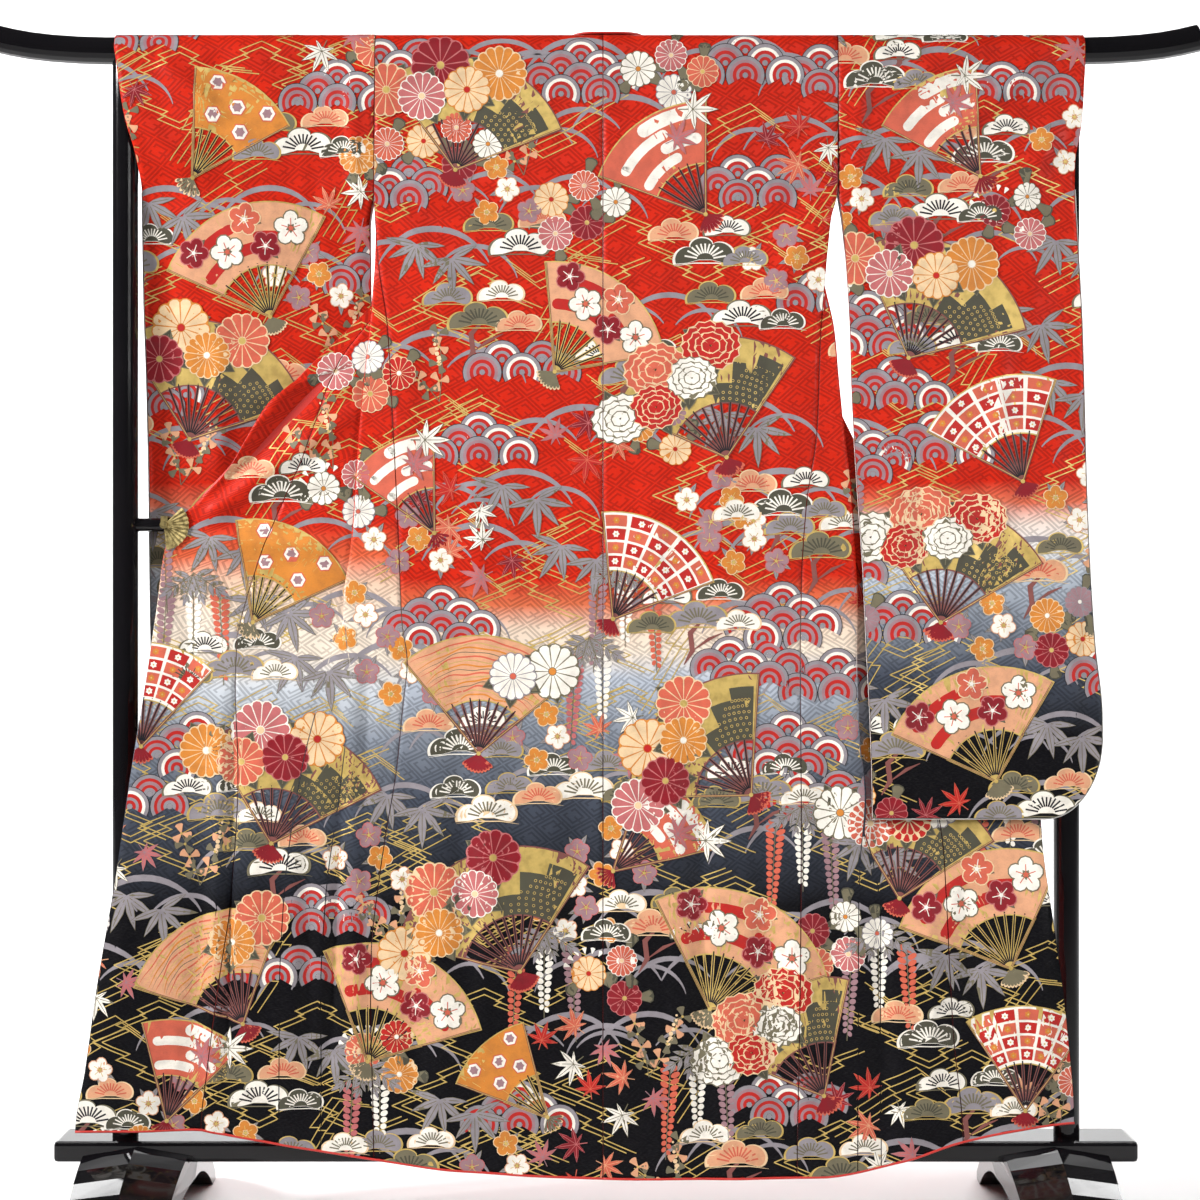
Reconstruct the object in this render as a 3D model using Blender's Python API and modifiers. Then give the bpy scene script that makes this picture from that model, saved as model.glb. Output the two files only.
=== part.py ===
"""A furisode kimono, seen from its back and opened out over a lacquered display stand.

Metres, +Z up. The garment's back hangs on the -Y side of the top rail and its fronts on the +Y side.
The origin is on the floor, midway between the feet. Tables hold millimetres, read with table().
"""

import math

import bmesh
import bpy
import numpy as np

MM = 0.001
GARMENT = "furisode_kimono_on_stand"

# Cloth
WALL = 2.0 * MM
SEAM_GAP = 0.3 * MM
CLEAR = 0.3 * MM
COLLAR_WALL = 3.0 * MM
COLLAR_WIDTH = 55 * MM
COLLAR_CLEAR = 1.6 * MM
FOLD_STEP = 5.5 * MM
TURN = 5 * MM

# Stand
RAIL_RADIUS = 20 * MM
RAIL_HEIGHT = 1720.2 * MM
RAIL_STRAIGHT = 720 * MM
POST_RADIUS = 19 * MM
POST_X = 692 * MM
MID_RADIUS = 10 * MM
MID_HEIGHT = 1023 * MM
BEAM_LENGTH = 1576 * MM
BEAM_DEPTH = 90 * MM
BEAM_LOW = 95.4 * MM
BEAM_HIGH = 125.7 * MM
BEAM_ROUND = 6 * MM
FOOT_X = 668 * MM
FOOT_HALF_WIDTH = 78.5 * MM
FOOT_TAPER = 11 * MM
FOOT_HALF_LENGTH = 250 * MM
FOOT_TOP = 122 * MM
FOOT_ARCH = 62 * MM
FOOT_RIDGE = 12 * MM
FOOT_TOE = 12 * MM
FOOT_PAD = 45 * MM

# The cloth's middle line, wrapped over the top rail
HANG = RAIL_RADIUS + WALL / 2 + 1.5 * MM
COLLAR_HANG = HANG + WALL / 2 + COLLAR_CLEAR + COLLAR_WALL / 2
COLLAR_STEP = WALL / 2 + COLLAR_CLEAR + COLLAR_WALL / 2
LEAN = 33.5 * MM
LEAN_FALL = 1600 * MM
CENTRE_BACK = 10.3 * MM
ARMHOLE_LOW = 1511 * MM
CREST_TURNS = (15, 45, 75)
BACK_COLUMNS = 10
OKUMI_COLUMNS = 5


def table(columns, *rows):
    """Rows of millimetres under named columns, as one array of metres for each column."""
    return {name: np.array(values, float) * MM for name, values in zip(columns.split(), zip(*rows))}


# Heights on the side edges of the rows that the body is built from, down to the hem
BODY_HEIGHTS = (
    1720.2, 1680, 1640, 1590, 1550, 1511, 1461, 1411, 1360, 1307, 1240, 1175, 1110, 1060, 1000, 940, 880, 820,
    760, 700, 640, 590, 565, 540, 480, 410, 330, 250, 170, 70,
)

# Side edges of the back: armhole, side opening, then the side seam
SIDES = {
    "left": table(
        "height x",
        (1745, -323), (1511, -324), (1411, -318), (1313, -304), (1159, -295), (1023, -288), (883, -282),
        (822, -274), (759, -280), (661, -290), (577, -304), (493, -316), (405, -325), (312, -326),
        (203, -323), (70, -321),
    ),
    "right": table(
        "height x",
        (1745, 354), (1511, 353), (1468, 343), (1430, 339), (1366, 333), (1306, 328), (1159, 322),
        (1048, 306), (940, 299), (818, 297), (595, 298), (274, 294), (70, 291),
    ),
}
# The side seam's start, over which the side is left open; the parts stand a little further apart there
SEAM_TOP = {"left": 1411 * MM, "right": 1307 * MM}
SLIT_REACH = 50 * MM
SLIT_GAP = 0.4 * MM

HEM = table(
    "x height",
    (-760, 144), (-576, 147), (-554, 143), (-442, 124), (-321, 104), (-197, 88), (47, 76), (324, 78),
    (446, 102), (531, 129), (658, 154), (700, 157),
)

# How far behind the top rail's axis each layer of a front lies, down to the side seam's start
FRONT_LAYERS = {
    "left": table(
        "height side middle rear",
        (1720.2, 22.5, 22.5, 22.5), (1680, 21, 22.5, 44), (1640, 18, 22, 44), (1590, 11, 17, 34),
        (1511, -2, 6, 17), (1461, -12, -4, 5), (1411, -27.5, -15, -6), (1360, -29, -21, -14),
        (1307, -31.1, -25, -19), (1240, -32.5, -27, -21.5),
    ),
    "right": table(
        "height side middle rear",
        (1720.2, 22.5, 22.5, 22.5), (1680, 21, 22.5, 44), (1640, 18, 22, 44), (1590, 11, 17, 34),
        (1511, -2, 7, 18), (1461, -6, 1, 10), (1411, -12, -6, 3), (1360, -20, -14, -6),
        (1307, -31, -22, -15), (1240, -32.5, -27, -21.5),
    ),
}

# Each front goes from its side seam out to a fold, back to a turn behind, and out again to the overlap
# panel's seam and the front edge. The front edge hangs lower than the seam by the drop.
FRONT_ROWS = {
    "left": table(
        "height fold turn seam edge drop",
        (1720.2, -295, -80, -57, -57, 0), (1680, -296, -80, -72, -72, 2), (1640, -297, -84, -100, -100, 5),
        (1590, -299, -92, -131, -131, 8), (1511, -303, -111, -191, -191, 15), (1461, -322, -137, -245, -250, 31),
        (1411, -323, -169, -292, -307, 44), (1375, -326, -184, -322, -347, 51),
        (1313, -332, -210, -376, -430, 71), (1232, -341, -233, -400, -486, 44),
        (1159, -348, -249, -424, -530, 46), (1089, -352, -292, -450, -579, 31),
        (1035, -355, -314, -468, -611, 9), (985, -359, -327, -487, -630, 4), (912, -368, -350, -510, -639, 0),
        (854, -365, -379, -522, -647, 0), (796, -357, -393, -524, -654, 0), (651, -371, -429, -519, -676, 0),
        (478, -393, -451, -529, -700, 0), (333, -400, -457, -547, -723, 0), (206, -399, -457, -562, -739, 0),
        (104, -399, -457, -571, -753, 0),
    ),
    "right": table(
        "height fold turn seam edge drop",
        (1720.2, 322, 114, 91, 91, 0), (1680, 322, 114, 104, 104, 2), (1640, 321, 112, 124, 124, 4),
        (1590, 320, 118, 139, 139, 4), (1511, 315, 146, 192, 199, 0), (1423, 322, 158, 225, 241, 0),
        (1350, 341, 158, 255, 277, 0), (1306, 350, 182, 268, 299, 0), (1233, 357, 200, 293, 335, 0),
        (1159, 365, 223, 316, 371, 0), (1087, 374, 249, 339, 406, 0), (998, 380, 275, 368, 450, 0),
        (912, 384, 297, 399, 493, 0), (818, 383, 313, 429, 539, 0), (709, 386, 337, 465, 593, 0),
        (628, 394, 364, 492, 633, 0), (593, 392, 380, 499, 647, 0), (535, 386, 400, 506, 651, 0),
        (449, 383, 412, 509, 660, 0), (268, 382, 411, 517, 681, 0), (78, 381, 411, 531, 692, 0),
    ),
}
# Between these heights the hidden fold opens out flat
FOLD_OPENS = {"left": (760 * MM, 880 * MM), "right": (430 * MM, 560 * MM)}
OPEN_RUN = 35 * MM
FOLD_STOP, TURN_STOP = 3, 7
LAPEL_ENDS = (1580 * MM, 1640 * MM)
OKUMI_TIP = {"left": 1440 * MM, "right": 1490 * MM}

SLEEVE_OUTLINES = {
    "left": table(
        "height inner outer front_outer",
        (1745, -323, -706, -706), (1691, -323, -700, -700), (1621, -324, -689, -689),
        (1565, -324, -674, -674), (1511, -324, -664, -664), (1460, -331, -663, -663),
        (1350, -331, -659, -659), (1239, -331, -655, -655), (1128, -331, -653, -653),
        (883, -332, -651, -651), (709, -333, -647, -647), (590, -334, -646, -646),
    ),
    "right": table(
        "height inner outer front_outer",
        (1745, 354, 715, 714), (1700, 354, 715, 712), (1660, 354, 713, 690), (1640, 354, 712, 664),
        (1600, 354, 708, 658), (1550, 354, 699, 662), (1511, 354, 698, 698), (1468, 359, 700, 700),
        (1394, 365, 704, 704), (1306, 370, 708, 708), (1224, 372, 710, 710), (1087, 379, 713, 713),
        (949, 388, 718, 718), (849, 392, 724, 724), (748, 397, 734, 734), (590, 401, 735, 735),
    ),
}
SLEEVE_LAYERS = {
    "left": table(
        "height back_in back_out front_in front_out",
        (1720.2, -22.5, -22.5, 22.5, 22.5), (1660, -23.8, -23.4, 20, 22), (1600, -25, -22.5, 12, 20),
        (1550, -26, -14, 4, 16), (1511, -26.9, -4, -2, 7), (1461, -14, 2, 3, 9), (1400, -3, 5, 8, 11),
        (1350, 4, 7, 12, 13), (1300, 9, 10, 15, 15.5), (1200, 13, 13, 18, 18), (1060, 16.5, 16.5, 21.5, 21.5),
        (590, 17, 17, 22, 22),
    ),
    "right": table(
        "height back_in back_out front_in front_out",
        (1720.2, -22.5, -22.5, 22.5, 22.5), (1660, -23.8, -23.6, 20, 22), (1640, -24.2, -24, 17, 20),
        (1600, -25, -25, 12, -2), (1550, -26, -28, 4, -22.4), (1511, -26.9, -30, -2, -23.5),
        (1450, -29.5, -31.5, -16, -25.5), (1370, -32, -33.5, -24, -28), (1307, -33, -35, -27, -30),
        (1150, -36.5, -37.5, -31.5, -32.5), (1030, -39.5, -40, -34.5, -35), (590, -49, -49, -44, -44),
    ),
}
SLEEVE_BOTTOM = 596 * MM
CORNER_ACROSS = 85 * MM
CORNER_UP = 120 * MM
CORNER_STEPS = 3
SLEEVE_COLUMNS = 5
SLEEVE_SWELL = 3 * MM

# Broad soft folds: a line down the cloth, its half width, and how far it stands out
FOLDS = table(
    "top_x top_z low_x low_z width rise",
    (-240, 900, -215, 60, 45, 5), (-95, 1000, -110, 60, 50, 4), (60, 850, 75, 60, 50, 4),
    (190, 900, 205, 60, 45, 5), (-330, 1650, -130, 1250, 55, 3), (350, 1650, 190, 1200, 55, 3),
    (-640, 620, -655, 120, 40, 6), (590, 560, 620, 120, 40, 5), (440, 560, 450, 120, 35, 5),
    (-450, 760, -440, 120, 45, 5),
)
SLEEVE_FOLDS = table(
    "top_x top_z low_x low_z width rise",
    (-690, 1700, -470, 1380, 45, 4), (-600, 1300, -590, 650, 40, 3), (690, 1690, 480, 1350, 45, 4),
    (640, 1250, 660, 620, 40, 5), (520, 1200, 520, 620, 40, 4), (430, 1300, 440, 620, 35, 4),
)

# The collar's sewn edge on the far side of the rail, up one front edge to the neck and down the other
COLLAR_LEGS = {
    "left": table(
        "x height",
        (-575, 1066), (-530, 1113), (-486, 1186), (-430, 1244), (-392, 1281), (-347, 1324), (-307, 1367),
        (-257, 1423), (-191, 1496), (-160, 1540), (-131, 1584), (-100, 1635), (-76, 1680),
    ),
    "right": table(
        "x height",
        (420, 1062), (400, 1100), (371, 1159), (335, 1233), (299, 1306), (277, 1350), (241, 1423), (221, 1467),
        (199, 1511), (168, 1550), (139, 1588), (124, 1636), (108, 1680),
    ),
}
NECK_MIDDLE = 17 * MM
NECK_HALF = 77 * MM
NECK_CORNER = 62 * MM
NECK_TOP = 1767 * MM
NECK_CORNER_STEPS = 6
COLLAR_COLUMNS = 4

# The clip: a fan on a grip that hooks over the middle rail
CLIP_X = -630 * MM
CLIP_Z = 1022 * MM
FAN_RADIUS = 37 * MM
FAN_INNER = 4 * MM
FAN_FROM = 44
FAN_TO = -84
FAN_RIBS = 11
FAN_PLEAT = 0.9 * MM
FAN_WALL = 1.2 * MM
FAN_Y = -29 * MM
GRIP_WALL = 1.6 * MM
GRIP_WIDTH = 10 * MM
GRIP_DROP = 14 * MM
PIN_RADIUS = 3 * MM
KNOB_RADIUS = 5.5 * MM
KNOB_DEPTH = 2.5 * MM


def smooth_at(column_table, column, at, key="height"):
    """A smooth curve with no overshoot through a table's column, read where its key is at."""
    keys, values = column_table[key], column_table[column]
    if keys[0] > keys[-1]:
        keys, values = keys[::-1], values[::-1]
    at = np.clip(np.asarray(at, float), keys[0], keys[-1])
    steps = np.diff(keys)
    slopes = np.diff(values) / steps
    tangents = np.zeros(len(keys))
    same_way = slopes[:-1] * slopes[1:] > 0
    tangents[1:-1][same_way] = 2 / (1 / slopes[:-1][same_way] + 1 / slopes[1:][same_way])
    i = np.clip(np.searchsorted(keys, at, side="right") - 1, 0, len(steps) - 1)
    t = (at - keys[i]) / steps[i]
    return (
        values[i] * (2 * t**3 - 3 * t**2 + 1)
        + values[i + 1] * (3 * t**2 - 2 * t**3)
        + steps[i] * (tangents[i] * (t**3 - 2 * t**2 + t) + tangents[i + 1] * (t**3 - t**2))
    )


def ease(low, high, at):
    """0 below low, 1 above high, and smooth between."""
    t = min(max((at - low) / (high - low), 0.0), 1.0)
    return t * t * (3 - 2 * t)


def mix(a, b, t):
    return a + (b - a) * t


def soft_sign(value, softness=12 * MM):
    return value / math.hypot(value, softness)


def fold_rise(x, z, folds):
    """How far the soft folds push the cloth out at a place on its face."""
    rise = 0.0
    for top_x, top_z, low_x, low_z, width, out in zip(*folds.values()):
        run_x, run_z = low_x - top_x, low_z - top_z
        length = math.hypot(run_x, run_z)
        down = ((x - top_x) * run_x + (z - top_z) * run_z) / length**2
        aside = ((x - top_x) * run_z - (z - top_z) * run_x) / length
        rise += out * math.exp(-((aside / width) ** 2)) * ease(0, 0.35, down) * (1 - ease(0.9, 1.2, down))
    return rise


def back_depth(x, z):
    """Y of the garment's back, which leans out from the rail to pass in front of the base beam."""
    fall = min(max((RAIL_HEIGHT - z) / LEAN_FALL, 0.0), 1.0)
    return -HANG - LEAN * fall - fold_rise(x, z, FOLDS)


def hem_height(x):
    return float(smooth_at(HEM, "height", x, key="x"))


def side_x(side, z):
    return float(smooth_at(SIDES[side], "x", z))


def body_shares():
    """How far down the side edge each body row lies, from 0 at the rail's axis to 1 at the hem."""
    heights = np.array(BODY_HEIGHTS) * MM
    return (RAIL_HEIGHT - heights) / (RAIL_HEIGHT - heights[-1])


def body_row_height(side, share):
    """Height on the side edge of a row that lies the given share of the way down to the hem."""
    return mix(RAIL_HEIGHT, hem_height(side_x(side, 0)), share)


def layer_depth(side, layer, z):
    """Y of one layer of a front: side (at the seam), middle (turned back) or rear (turned out again)."""
    layers = FRONT_LAYERS[side]
    if z >= layers["height"][-1]:
        return float(smooth_at(layers, layer, z))
    steps = {"side": 0, "middle": 1, "rear": 2}[layer]
    fall = min((RAIL_HEIGHT - z) / LEAN_FALL, 1.0)
    return -HANG - LEAN * fall + steps * FOLD_STEP * ease(*FOLD_OPENS[side], z)


def over_rail(height, radius):
    """(y, z) on the far side of the rail, for a height that is unrolled round the rail above its axis."""
    turn = (height - RAIL_HEIGHT) / radius
    return radius * math.cos(turn), RAIL_HEIGHT + radius * math.sin(turn)


def new_collection(name):
    collection = bpy.data.collections.new(name)
    bpy.context.scene.collection.children.link(collection)
    return collection


def make_material(name, colour, roughness, metallic=0.0):
    material = bpy.data.materials.new(name)
    material.use_nodes = True
    shader = material.node_tree.nodes["Principled BSDF"]
    shader.inputs["Base Color"].default_value = (*colour, 1)
    shader.inputs["Roughness"].default_value = roughness
    shader.inputs["Metallic"].default_value = metallic
    return material


def add_object(name, mesh, material, collection):
    piece = bpy.data.objects.new(name, mesh)
    piece.data.materials.append(material)
    collection.objects.link(piece)
    return piece


def mesh_from(name, points, faces):
    mesh = bpy.data.meshes.new(name)
    mesh.from_pydata([tuple(p) for p in points], [], faces)
    shape = bmesh.new()
    shape.from_mesh(mesh)
    bmesh.ops.recalc_face_normals(shape, faces=shape.faces)
    shape.to_mesh(mesh)
    shape.free()
    return mesh


def grid_faces(rows, columns):
    return [
        (r * columns + c, r * columns + c + 1, (r + 1) * columns + c + 1, (r + 1) * columns + c)
        for r in range(rows - 1)
        for c in range(columns - 1)
    ]


def add_wall(name, points, faces, material, collection, thickness=WALL):
    """A sheet of cloth: an open surface given its thickness, half to each side."""
    piece = add_object(name, mesh_from(name, points, faces), material, collection)
    solid = piece.modifiers.new("thickness", "SOLIDIFY")
    solid.thickness = thickness
    solid.offset = 0
    solid.use_even_offset = True
    solid.use_quality_normals = True
    piece.data.shade_smooth()
    return piece


def add_grid_wall(name, grid, material, collection, thickness=WALL):
    points = [p for row in grid for p in row]
    return add_wall(name, points, grid_faces(len(grid), len(grid[0])), material, collection, thickness)


def crest_rows():
    """(out, up) from the rail's axis, from the shoulder line to just above the axis's level."""
    turns = [math.radians(turn) for turn in CREST_TURNS]
    shoulder = (SEAM_GAP / 2, HANG * math.cos(turns[0]))
    return [shoulder] + [(HANG * math.sin(turn), HANG * math.cos(turn)) for turn in turns]


def add_back(side, material, collection):
    """One half of the back, from the shoulder line over the rail down to the hem."""
    way = -1 if side == "left" else 1
    centre = CENTRE_BACK + way * SEAM_GAP / 2
    hem_side = side_x(side, 0)
    grid = []
    for out, up in crest_rows():
        edge = side_x(side, RAIL_HEIGHT + up) - way * SEAM_GAP / 2
        across = [mix(centre, edge, c / BACK_COLUMNS) for c in range(BACK_COLUMNS + 1)]
        grid.append([(x, -out, RAIL_HEIGHT + up) for x in across])
    for share in body_shares():
        row = []
        for c in range(BACK_COLUMNS + 1):
            across = c / BACK_COLUMNS
            z = mix(RAIL_HEIGHT, hem_height(mix(CENTRE_BACK, hem_side, across)), share)
            x = mix(centre, side_x(side, z) - way * SEAM_GAP / 2, across)
            row.append((x, back_depth(x, z), z))
        grid.append(row)
    return add_grid_wall(f"back_{side}", grid, material, collection)


def split_run(start, end, bend):
    """Shares along a run that leave a bend at each end, at most a third of the run each."""
    share = min(1 / 3, bend / max(abs(end - start), bend))
    return share, 0.5, 1 - share


def front_stops(side, height):
    """(x, y) stops of one row of a front: side seam, fold, turn, then the overlap seam and the front edge."""
    way = -1 if side == "left" else 1
    fold, turn, seam, edge = (
        float(smooth_at(FRONT_ROWS[side], name, height)) for name in ("fold", "turn", "seam", "edge")
    )
    depth = {layer: layer_depth(side, layer, height) for layer in ("side", "middle", "rear")}
    start = side_x(side, height)
    near_top = math.exp(-(((height - SEAM_TOP[side]) / SLIT_REACH) ** 2))
    start += soft_sign(fold - start, 4 * MM) * (SEAM_GAP / 2 + SLIT_GAP * near_top)
    opened = 1 - ease(*FOLD_OPENS[side], height)
    bend = mix(TURN, 3 * TURN, opened)
    at_fold = mix(depth["side"], depth["middle"], 0.5)
    lapel = ease(*LAPEL_ENDS, height)
    at_turn = mix(mix(depth["middle"], depth["rear"], 0.5), depth["middle"], lapel)
    strip = abs(fold - start)
    before = 1 - min(0.5, bend / max(strip, bend))
    short = 1 - min(strip / OPEN_RUN, 1) ** 2
    stops = [
        (mix(start, fold, share), mix(depth["side"], at_fold, share * (short if share < 1 else 1)))
        for share in (0, before / 2, before, 1)
    ]
    straight = 1 - min(abs(turn - fold) / OPEN_RUN, 1) ** 2
    for share in split_run(fold, turn, bend):
        stops.append((mix(fold, turn, share), mix(depth["middle"], mix(at_fold, at_turn, share), straight)))
    stops.append((turn, at_turn))
    width = math.hypot(edge - turn, depth["rear"] - depth["middle"])
    curl = mix(bend, width, lapel)
    seam_share = (seam - turn) / (edge - turn) if abs(edge - turn) > 1 * MM else 1.0
    first = min(bend / width, seam_share / 3)
    shares = [first, mix(first, seam_share, 0.35), mix(first, seam_share, 0.7), seam_share]
    rest = [mix(seam_share, 1, c / OKUMI_COLUMNS) for c in range(OKUMI_COLUMNS + 1)]

    drop = float(smooth_at(FRONT_ROWS[side], "drop", height))

    def on_rear(share, aside=0.0):
        rear = layer_depth(side, "rear", height - drop * share)
        return mix(turn, edge, share) + aside, mix(at_turn, rear, min(share * width / curl, 1))

    gap = way * SEAM_GAP / 2
    front = stops + [on_rear(share) for share in shares[:3]] + [on_rear(seam_share, -gap)]
    okumi = [on_rear(share, gap * (1 - c / OKUMI_COLUMNS)) for c, share in enumerate(rest)]
    return front, okumi, turn, edge, drop


def front_row(side, height, share):
    """Points of a front and its overlap panel in one row, which falls away towards the front edge."""
    front, okumi, turn, edge, drop = front_stops(side, height)
    hem_level = hem_height(side_x(side, 0))
    opened = 1 - ease(*FOLD_OPENS[side], height)

    def hang(x, y, after_turn, on_strip):
        fall = drop * min(max((x - turn) / (edge - turn), 0.0), 1.0) if after_turn and drop > 0 else 0.0
        z = height - fall + (hem_height(x) - hem_level) * share**6
        rises = 1.0 if on_strip and height < SEAM_TOP[side] else opened
        return x, y - fold_rise(x, z, FOLDS) * rises, z

    front_points = [hang(x, y, i > TURN_STOP, i < FOLD_STOP) for i, (x, y) in enumerate(front)]
    return front_points, [hang(x, y, True, False) for x, y in okumi]


def add_front(side, cloth, overlap_cloth, collection):
    """The front half of a body length and the overlap panel sewn to it."""
    top_row, *_ = front_stops(side, RAIL_HEIGHT)
    front_grid = [[(x, out, RAIL_HEIGHT + up) for x, _ in top_row] for out, up in crest_rows()]
    okumi_grid = []
    for share in body_shares():
        height = body_row_height(side, share)
        front, okumi = front_row(side, height, share)
        front_grid.append(front)
        if height < OKUMI_TIP[side]:
            okumi_grid.append(okumi)
    add_grid_wall(f"front_{side}", front_grid, cloth, collection)
    add_grid_wall(f"okumi_{side}", okumi_grid, overlap_cloth, collection)


def round_corner(x, z, corner_x, corner_z):
    """Moves a point near the sleeve's lower outer corner on to rings of a quarter ellipse."""
    across = abs(x - corner_x) / CORNER_ACROSS
    down = (corner_z + CORNER_UP - z) / CORNER_UP
    inside = 1 - across
    if inside <= 0 or down <= 0:
        return x, z
    ring = max(inside, down) / math.hypot(inside, down)
    way = 1 if corner_x > 0 else -1
    return corner_x - way * CORNER_ACROSS * (1 - inside * ring), corner_z + CORNER_UP * (1 - down * ring)


def sleeve_heights():
    """Row heights down a sleeve: the armhole's end has its own row, and the corner has even steps."""
    upper = [mix(RAIL_HEIGHT, ARMHOLE_LOW, i / 6) for i in range(6)]
    corner_top = SLEEVE_BOTTOM + CORNER_UP
    middle = [mix(ARMHOLE_LOW, corner_top, i / 12) for i in range(12)]
    return upper + middle + [mix(corner_top, SLEEVE_BOTTOM, i / CORNER_STEPS) for i in range(CORNER_STEPS + 1)]


def sleeve_row(side, z, layer):
    """One row of a sleeve's back or front layer, from its open inner edge out."""
    way = -1 if side == "left" else 1
    outline, depths = SLEEVE_OUTLINES[side], SLEEVE_LAYERS[side]
    inner = float(smooth_at(outline, "inner", z)) + way * SEAM_GAP / 2
    outer = float(smooth_at(outline, "outer" if layer == "back" else "front_outer", z))
    knee = outer - way * CORNER_ACROSS
    columns = [mix(inner, knee, c / SLEEVE_COLUMNS) for c in range(SLEEVE_COLUMNS)]
    columns += [mix(knee, outer, c / CORNER_STEPS) for c in range(CORNER_STEPS + 1)]
    row = []
    for x in columns:
        across = (x - inner) / (outer - inner)
        level = min(z, RAIL_HEIGHT)
        y = mix(
            float(smooth_at(depths, f"{layer}_in", level)), float(smooth_at(depths, f"{layer}_out", level)), across
        )
        seat_x, seat_z = round_corner(x, z, outer, SLEEVE_BOTTOM)
        row.append((seat_x, y - fold_rise(x, z, SLEEVE_FOLDS), seat_z))
    return row


def add_sleeve(side, material, collection):
    """A long sleeve: one length over the rail, closed round its outer edge and foot, open inside."""
    heights = sleeve_heights()
    way = -1 if side == "left" else 1
    over = crest_rows()[1:]
    top_row = [x for x, _, _ in sleeve_row(side, RAIL_HEIGHT, "back")]
    crest = [[(x, -out, RAIL_HEIGHT + up) for x in top_row] for out, up in over[::-1]]
    crest += [[(x, out, RAIL_HEIGHT + up) for x in top_row] for out, up in over]
    back = [sleeve_row(side, z, "back") for z in heights]
    front = [sleeve_row(side, z, "front") for z in heights]
    grid = back[::-1] + crest + front
    columns = len(grid[0])
    points = [p for row in grid for p in row]
    faces = grid_faces(len(grid), columns)
    rows = len(back)
    armhole_row = heights.index(ARMHOLE_LOW)
    rim = [(r, columns - 1) for r in range(armhole_row, rows)] + [(rows - 1, c) for c in range(columns - 2, -1, -1)]
    back_rim = [(rows - 1 - r) * columns + c for r, c in rim]
    front_rim = [(rows + len(crest) + r) * columns + c for r, c in rim]
    middle = [len(points) + i for i in range(len(rim))]
    for i in range(len(rim)):
        before, after = points[back_rim[max(i - 1, 0)]], points[back_rim[min(i + 1, len(rim) - 1)]]
        run_x, run_z = after[0] - before[0], after[2] - before[2]
        length = math.hypot(run_x, run_z)
        a, b = points[back_rim[i]], points[front_rim[i]]
        swell = min(abs(b[1] - a[1]) / 2, SLEEVE_SWELL)
        out_x, out_z = -run_z / length * way, run_x / length * way
        points.append(((a[0] + b[0]) / 2 + out_x * swell, (a[1] + b[1]) / 2, (a[2] + b[2]) / 2 + out_z * swell))
    for i in range(len(rim) - 1):
        faces.append((back_rim[i], back_rim[i + 1], middle[i + 1], middle[i]))
        faces.append((middle[i], middle[i + 1], front_rim[i + 1], front_rim[i]))
    return add_wall(f"sleeve_{side}", points, faces, material, collection)


def collar_path():
    """(x, height) along the collar's sewn edge, where heights over the rail are unrolled round it."""
    corners = []
    for way in (-1, 1):
        middle = NECK_MIDDLE + way * (NECK_HALF - NECK_CORNER)
        turns = [math.pi / 2 * i / NECK_CORNER_STEPS for i in range(NECK_CORNER_STEPS + 1)]
        corner = [
            (middle + way * NECK_CORNER * math.cos(turn), NECK_TOP - NECK_CORNER * (1 - math.sin(turn)))
            for turn in turns
        ]
        corners += corner if way < 0 else corner[::-1]
    left, right = (list(zip(leg["x"], leg["height"])) for leg in (COLLAR_LEGS["left"], COLLAR_LEGS["right"]))
    return left + corners + right[::-1]


def collar_point(x, height):
    """A place on the collar, which lies just behind the fronts and passes over the rail at the neck."""
    if height > RAIL_HEIGHT:
        y, z = over_rail(height, COLLAR_HANG)
        return x, y, z
    side = "left" if x < CENTRE_BACK else "right"
    step = mix(COLLAR_STEP, COLLAR_HANG - HANG, ease(1640 * MM, RAIL_HEIGHT, height))
    return x, layer_depth(side, "rear", height) + step, height


def add_collar(material, collection):
    """The folded band along both front edges and round the neck."""
    xs, heights = (np.array(values) for values in zip(*collar_path()))
    run_x, run_z = np.gradient(xs), np.gradient(heights)
    length = np.hypot(run_x, run_z)
    grid = []
    for x, height, along_x, along_z in zip(xs, heights, run_x / length, run_z / length):
        shares = [COLLAR_WIDTH * c / COLLAR_COLUMNS for c in range(COLLAR_COLUMNS + 1)]
        grid.append([collar_point(x + along_z * s, height - along_x * s) for s in shares])
    return add_grid_wall("collar", grid, material, collection, COLLAR_WALL)


def cylinder(name, radius, length, place, across=False, sides=32):
    """A capped cylinder, upright or lying along X."""
    mesh = bpy.data.meshes.new(name)
    shape = bmesh.new()
    bmesh.ops.create_cone(shape, cap_ends=True, segments=sides, radius1=radius, radius2=radius, depth=length)
    shape.to_mesh(mesh)
    shape.free()
    piece = bpy.data.objects.new(name, mesh)
    piece.location = place
    if across:
        piece.rotation_euler = (0, math.pi / 2, 0)
    return piece


def box_mesh(name, low, high):
    mesh = bpy.data.meshes.new(name)
    shape = bmesh.new()
    bmesh.ops.create_cube(shape, size=1)
    for vertex in shape.verts:
        vertex.co = [mix(low[i], high[i], vertex.co[i] + 0.5) for i in range(3)]
    shape.to_mesh(mesh)
    shape.free()
    return mesh


def add_cutter(piece, cutters):
    cutters.objects.link(piece)
    piece.hide_render = True
    piece.display_type = "WIRE"
    return piece


def cut(piece, cutter):
    modifier = piece.modifiers.new("cut", "BOOLEAN")
    modifier.operation = "DIFFERENCE"
    modifier.solver = "EXACT"
    modifier.object = cutter


def shade(piece):
    piece.data.shade_smooth()
    piece.data.set_sharp_from_angle(angle=math.radians(35))


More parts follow.
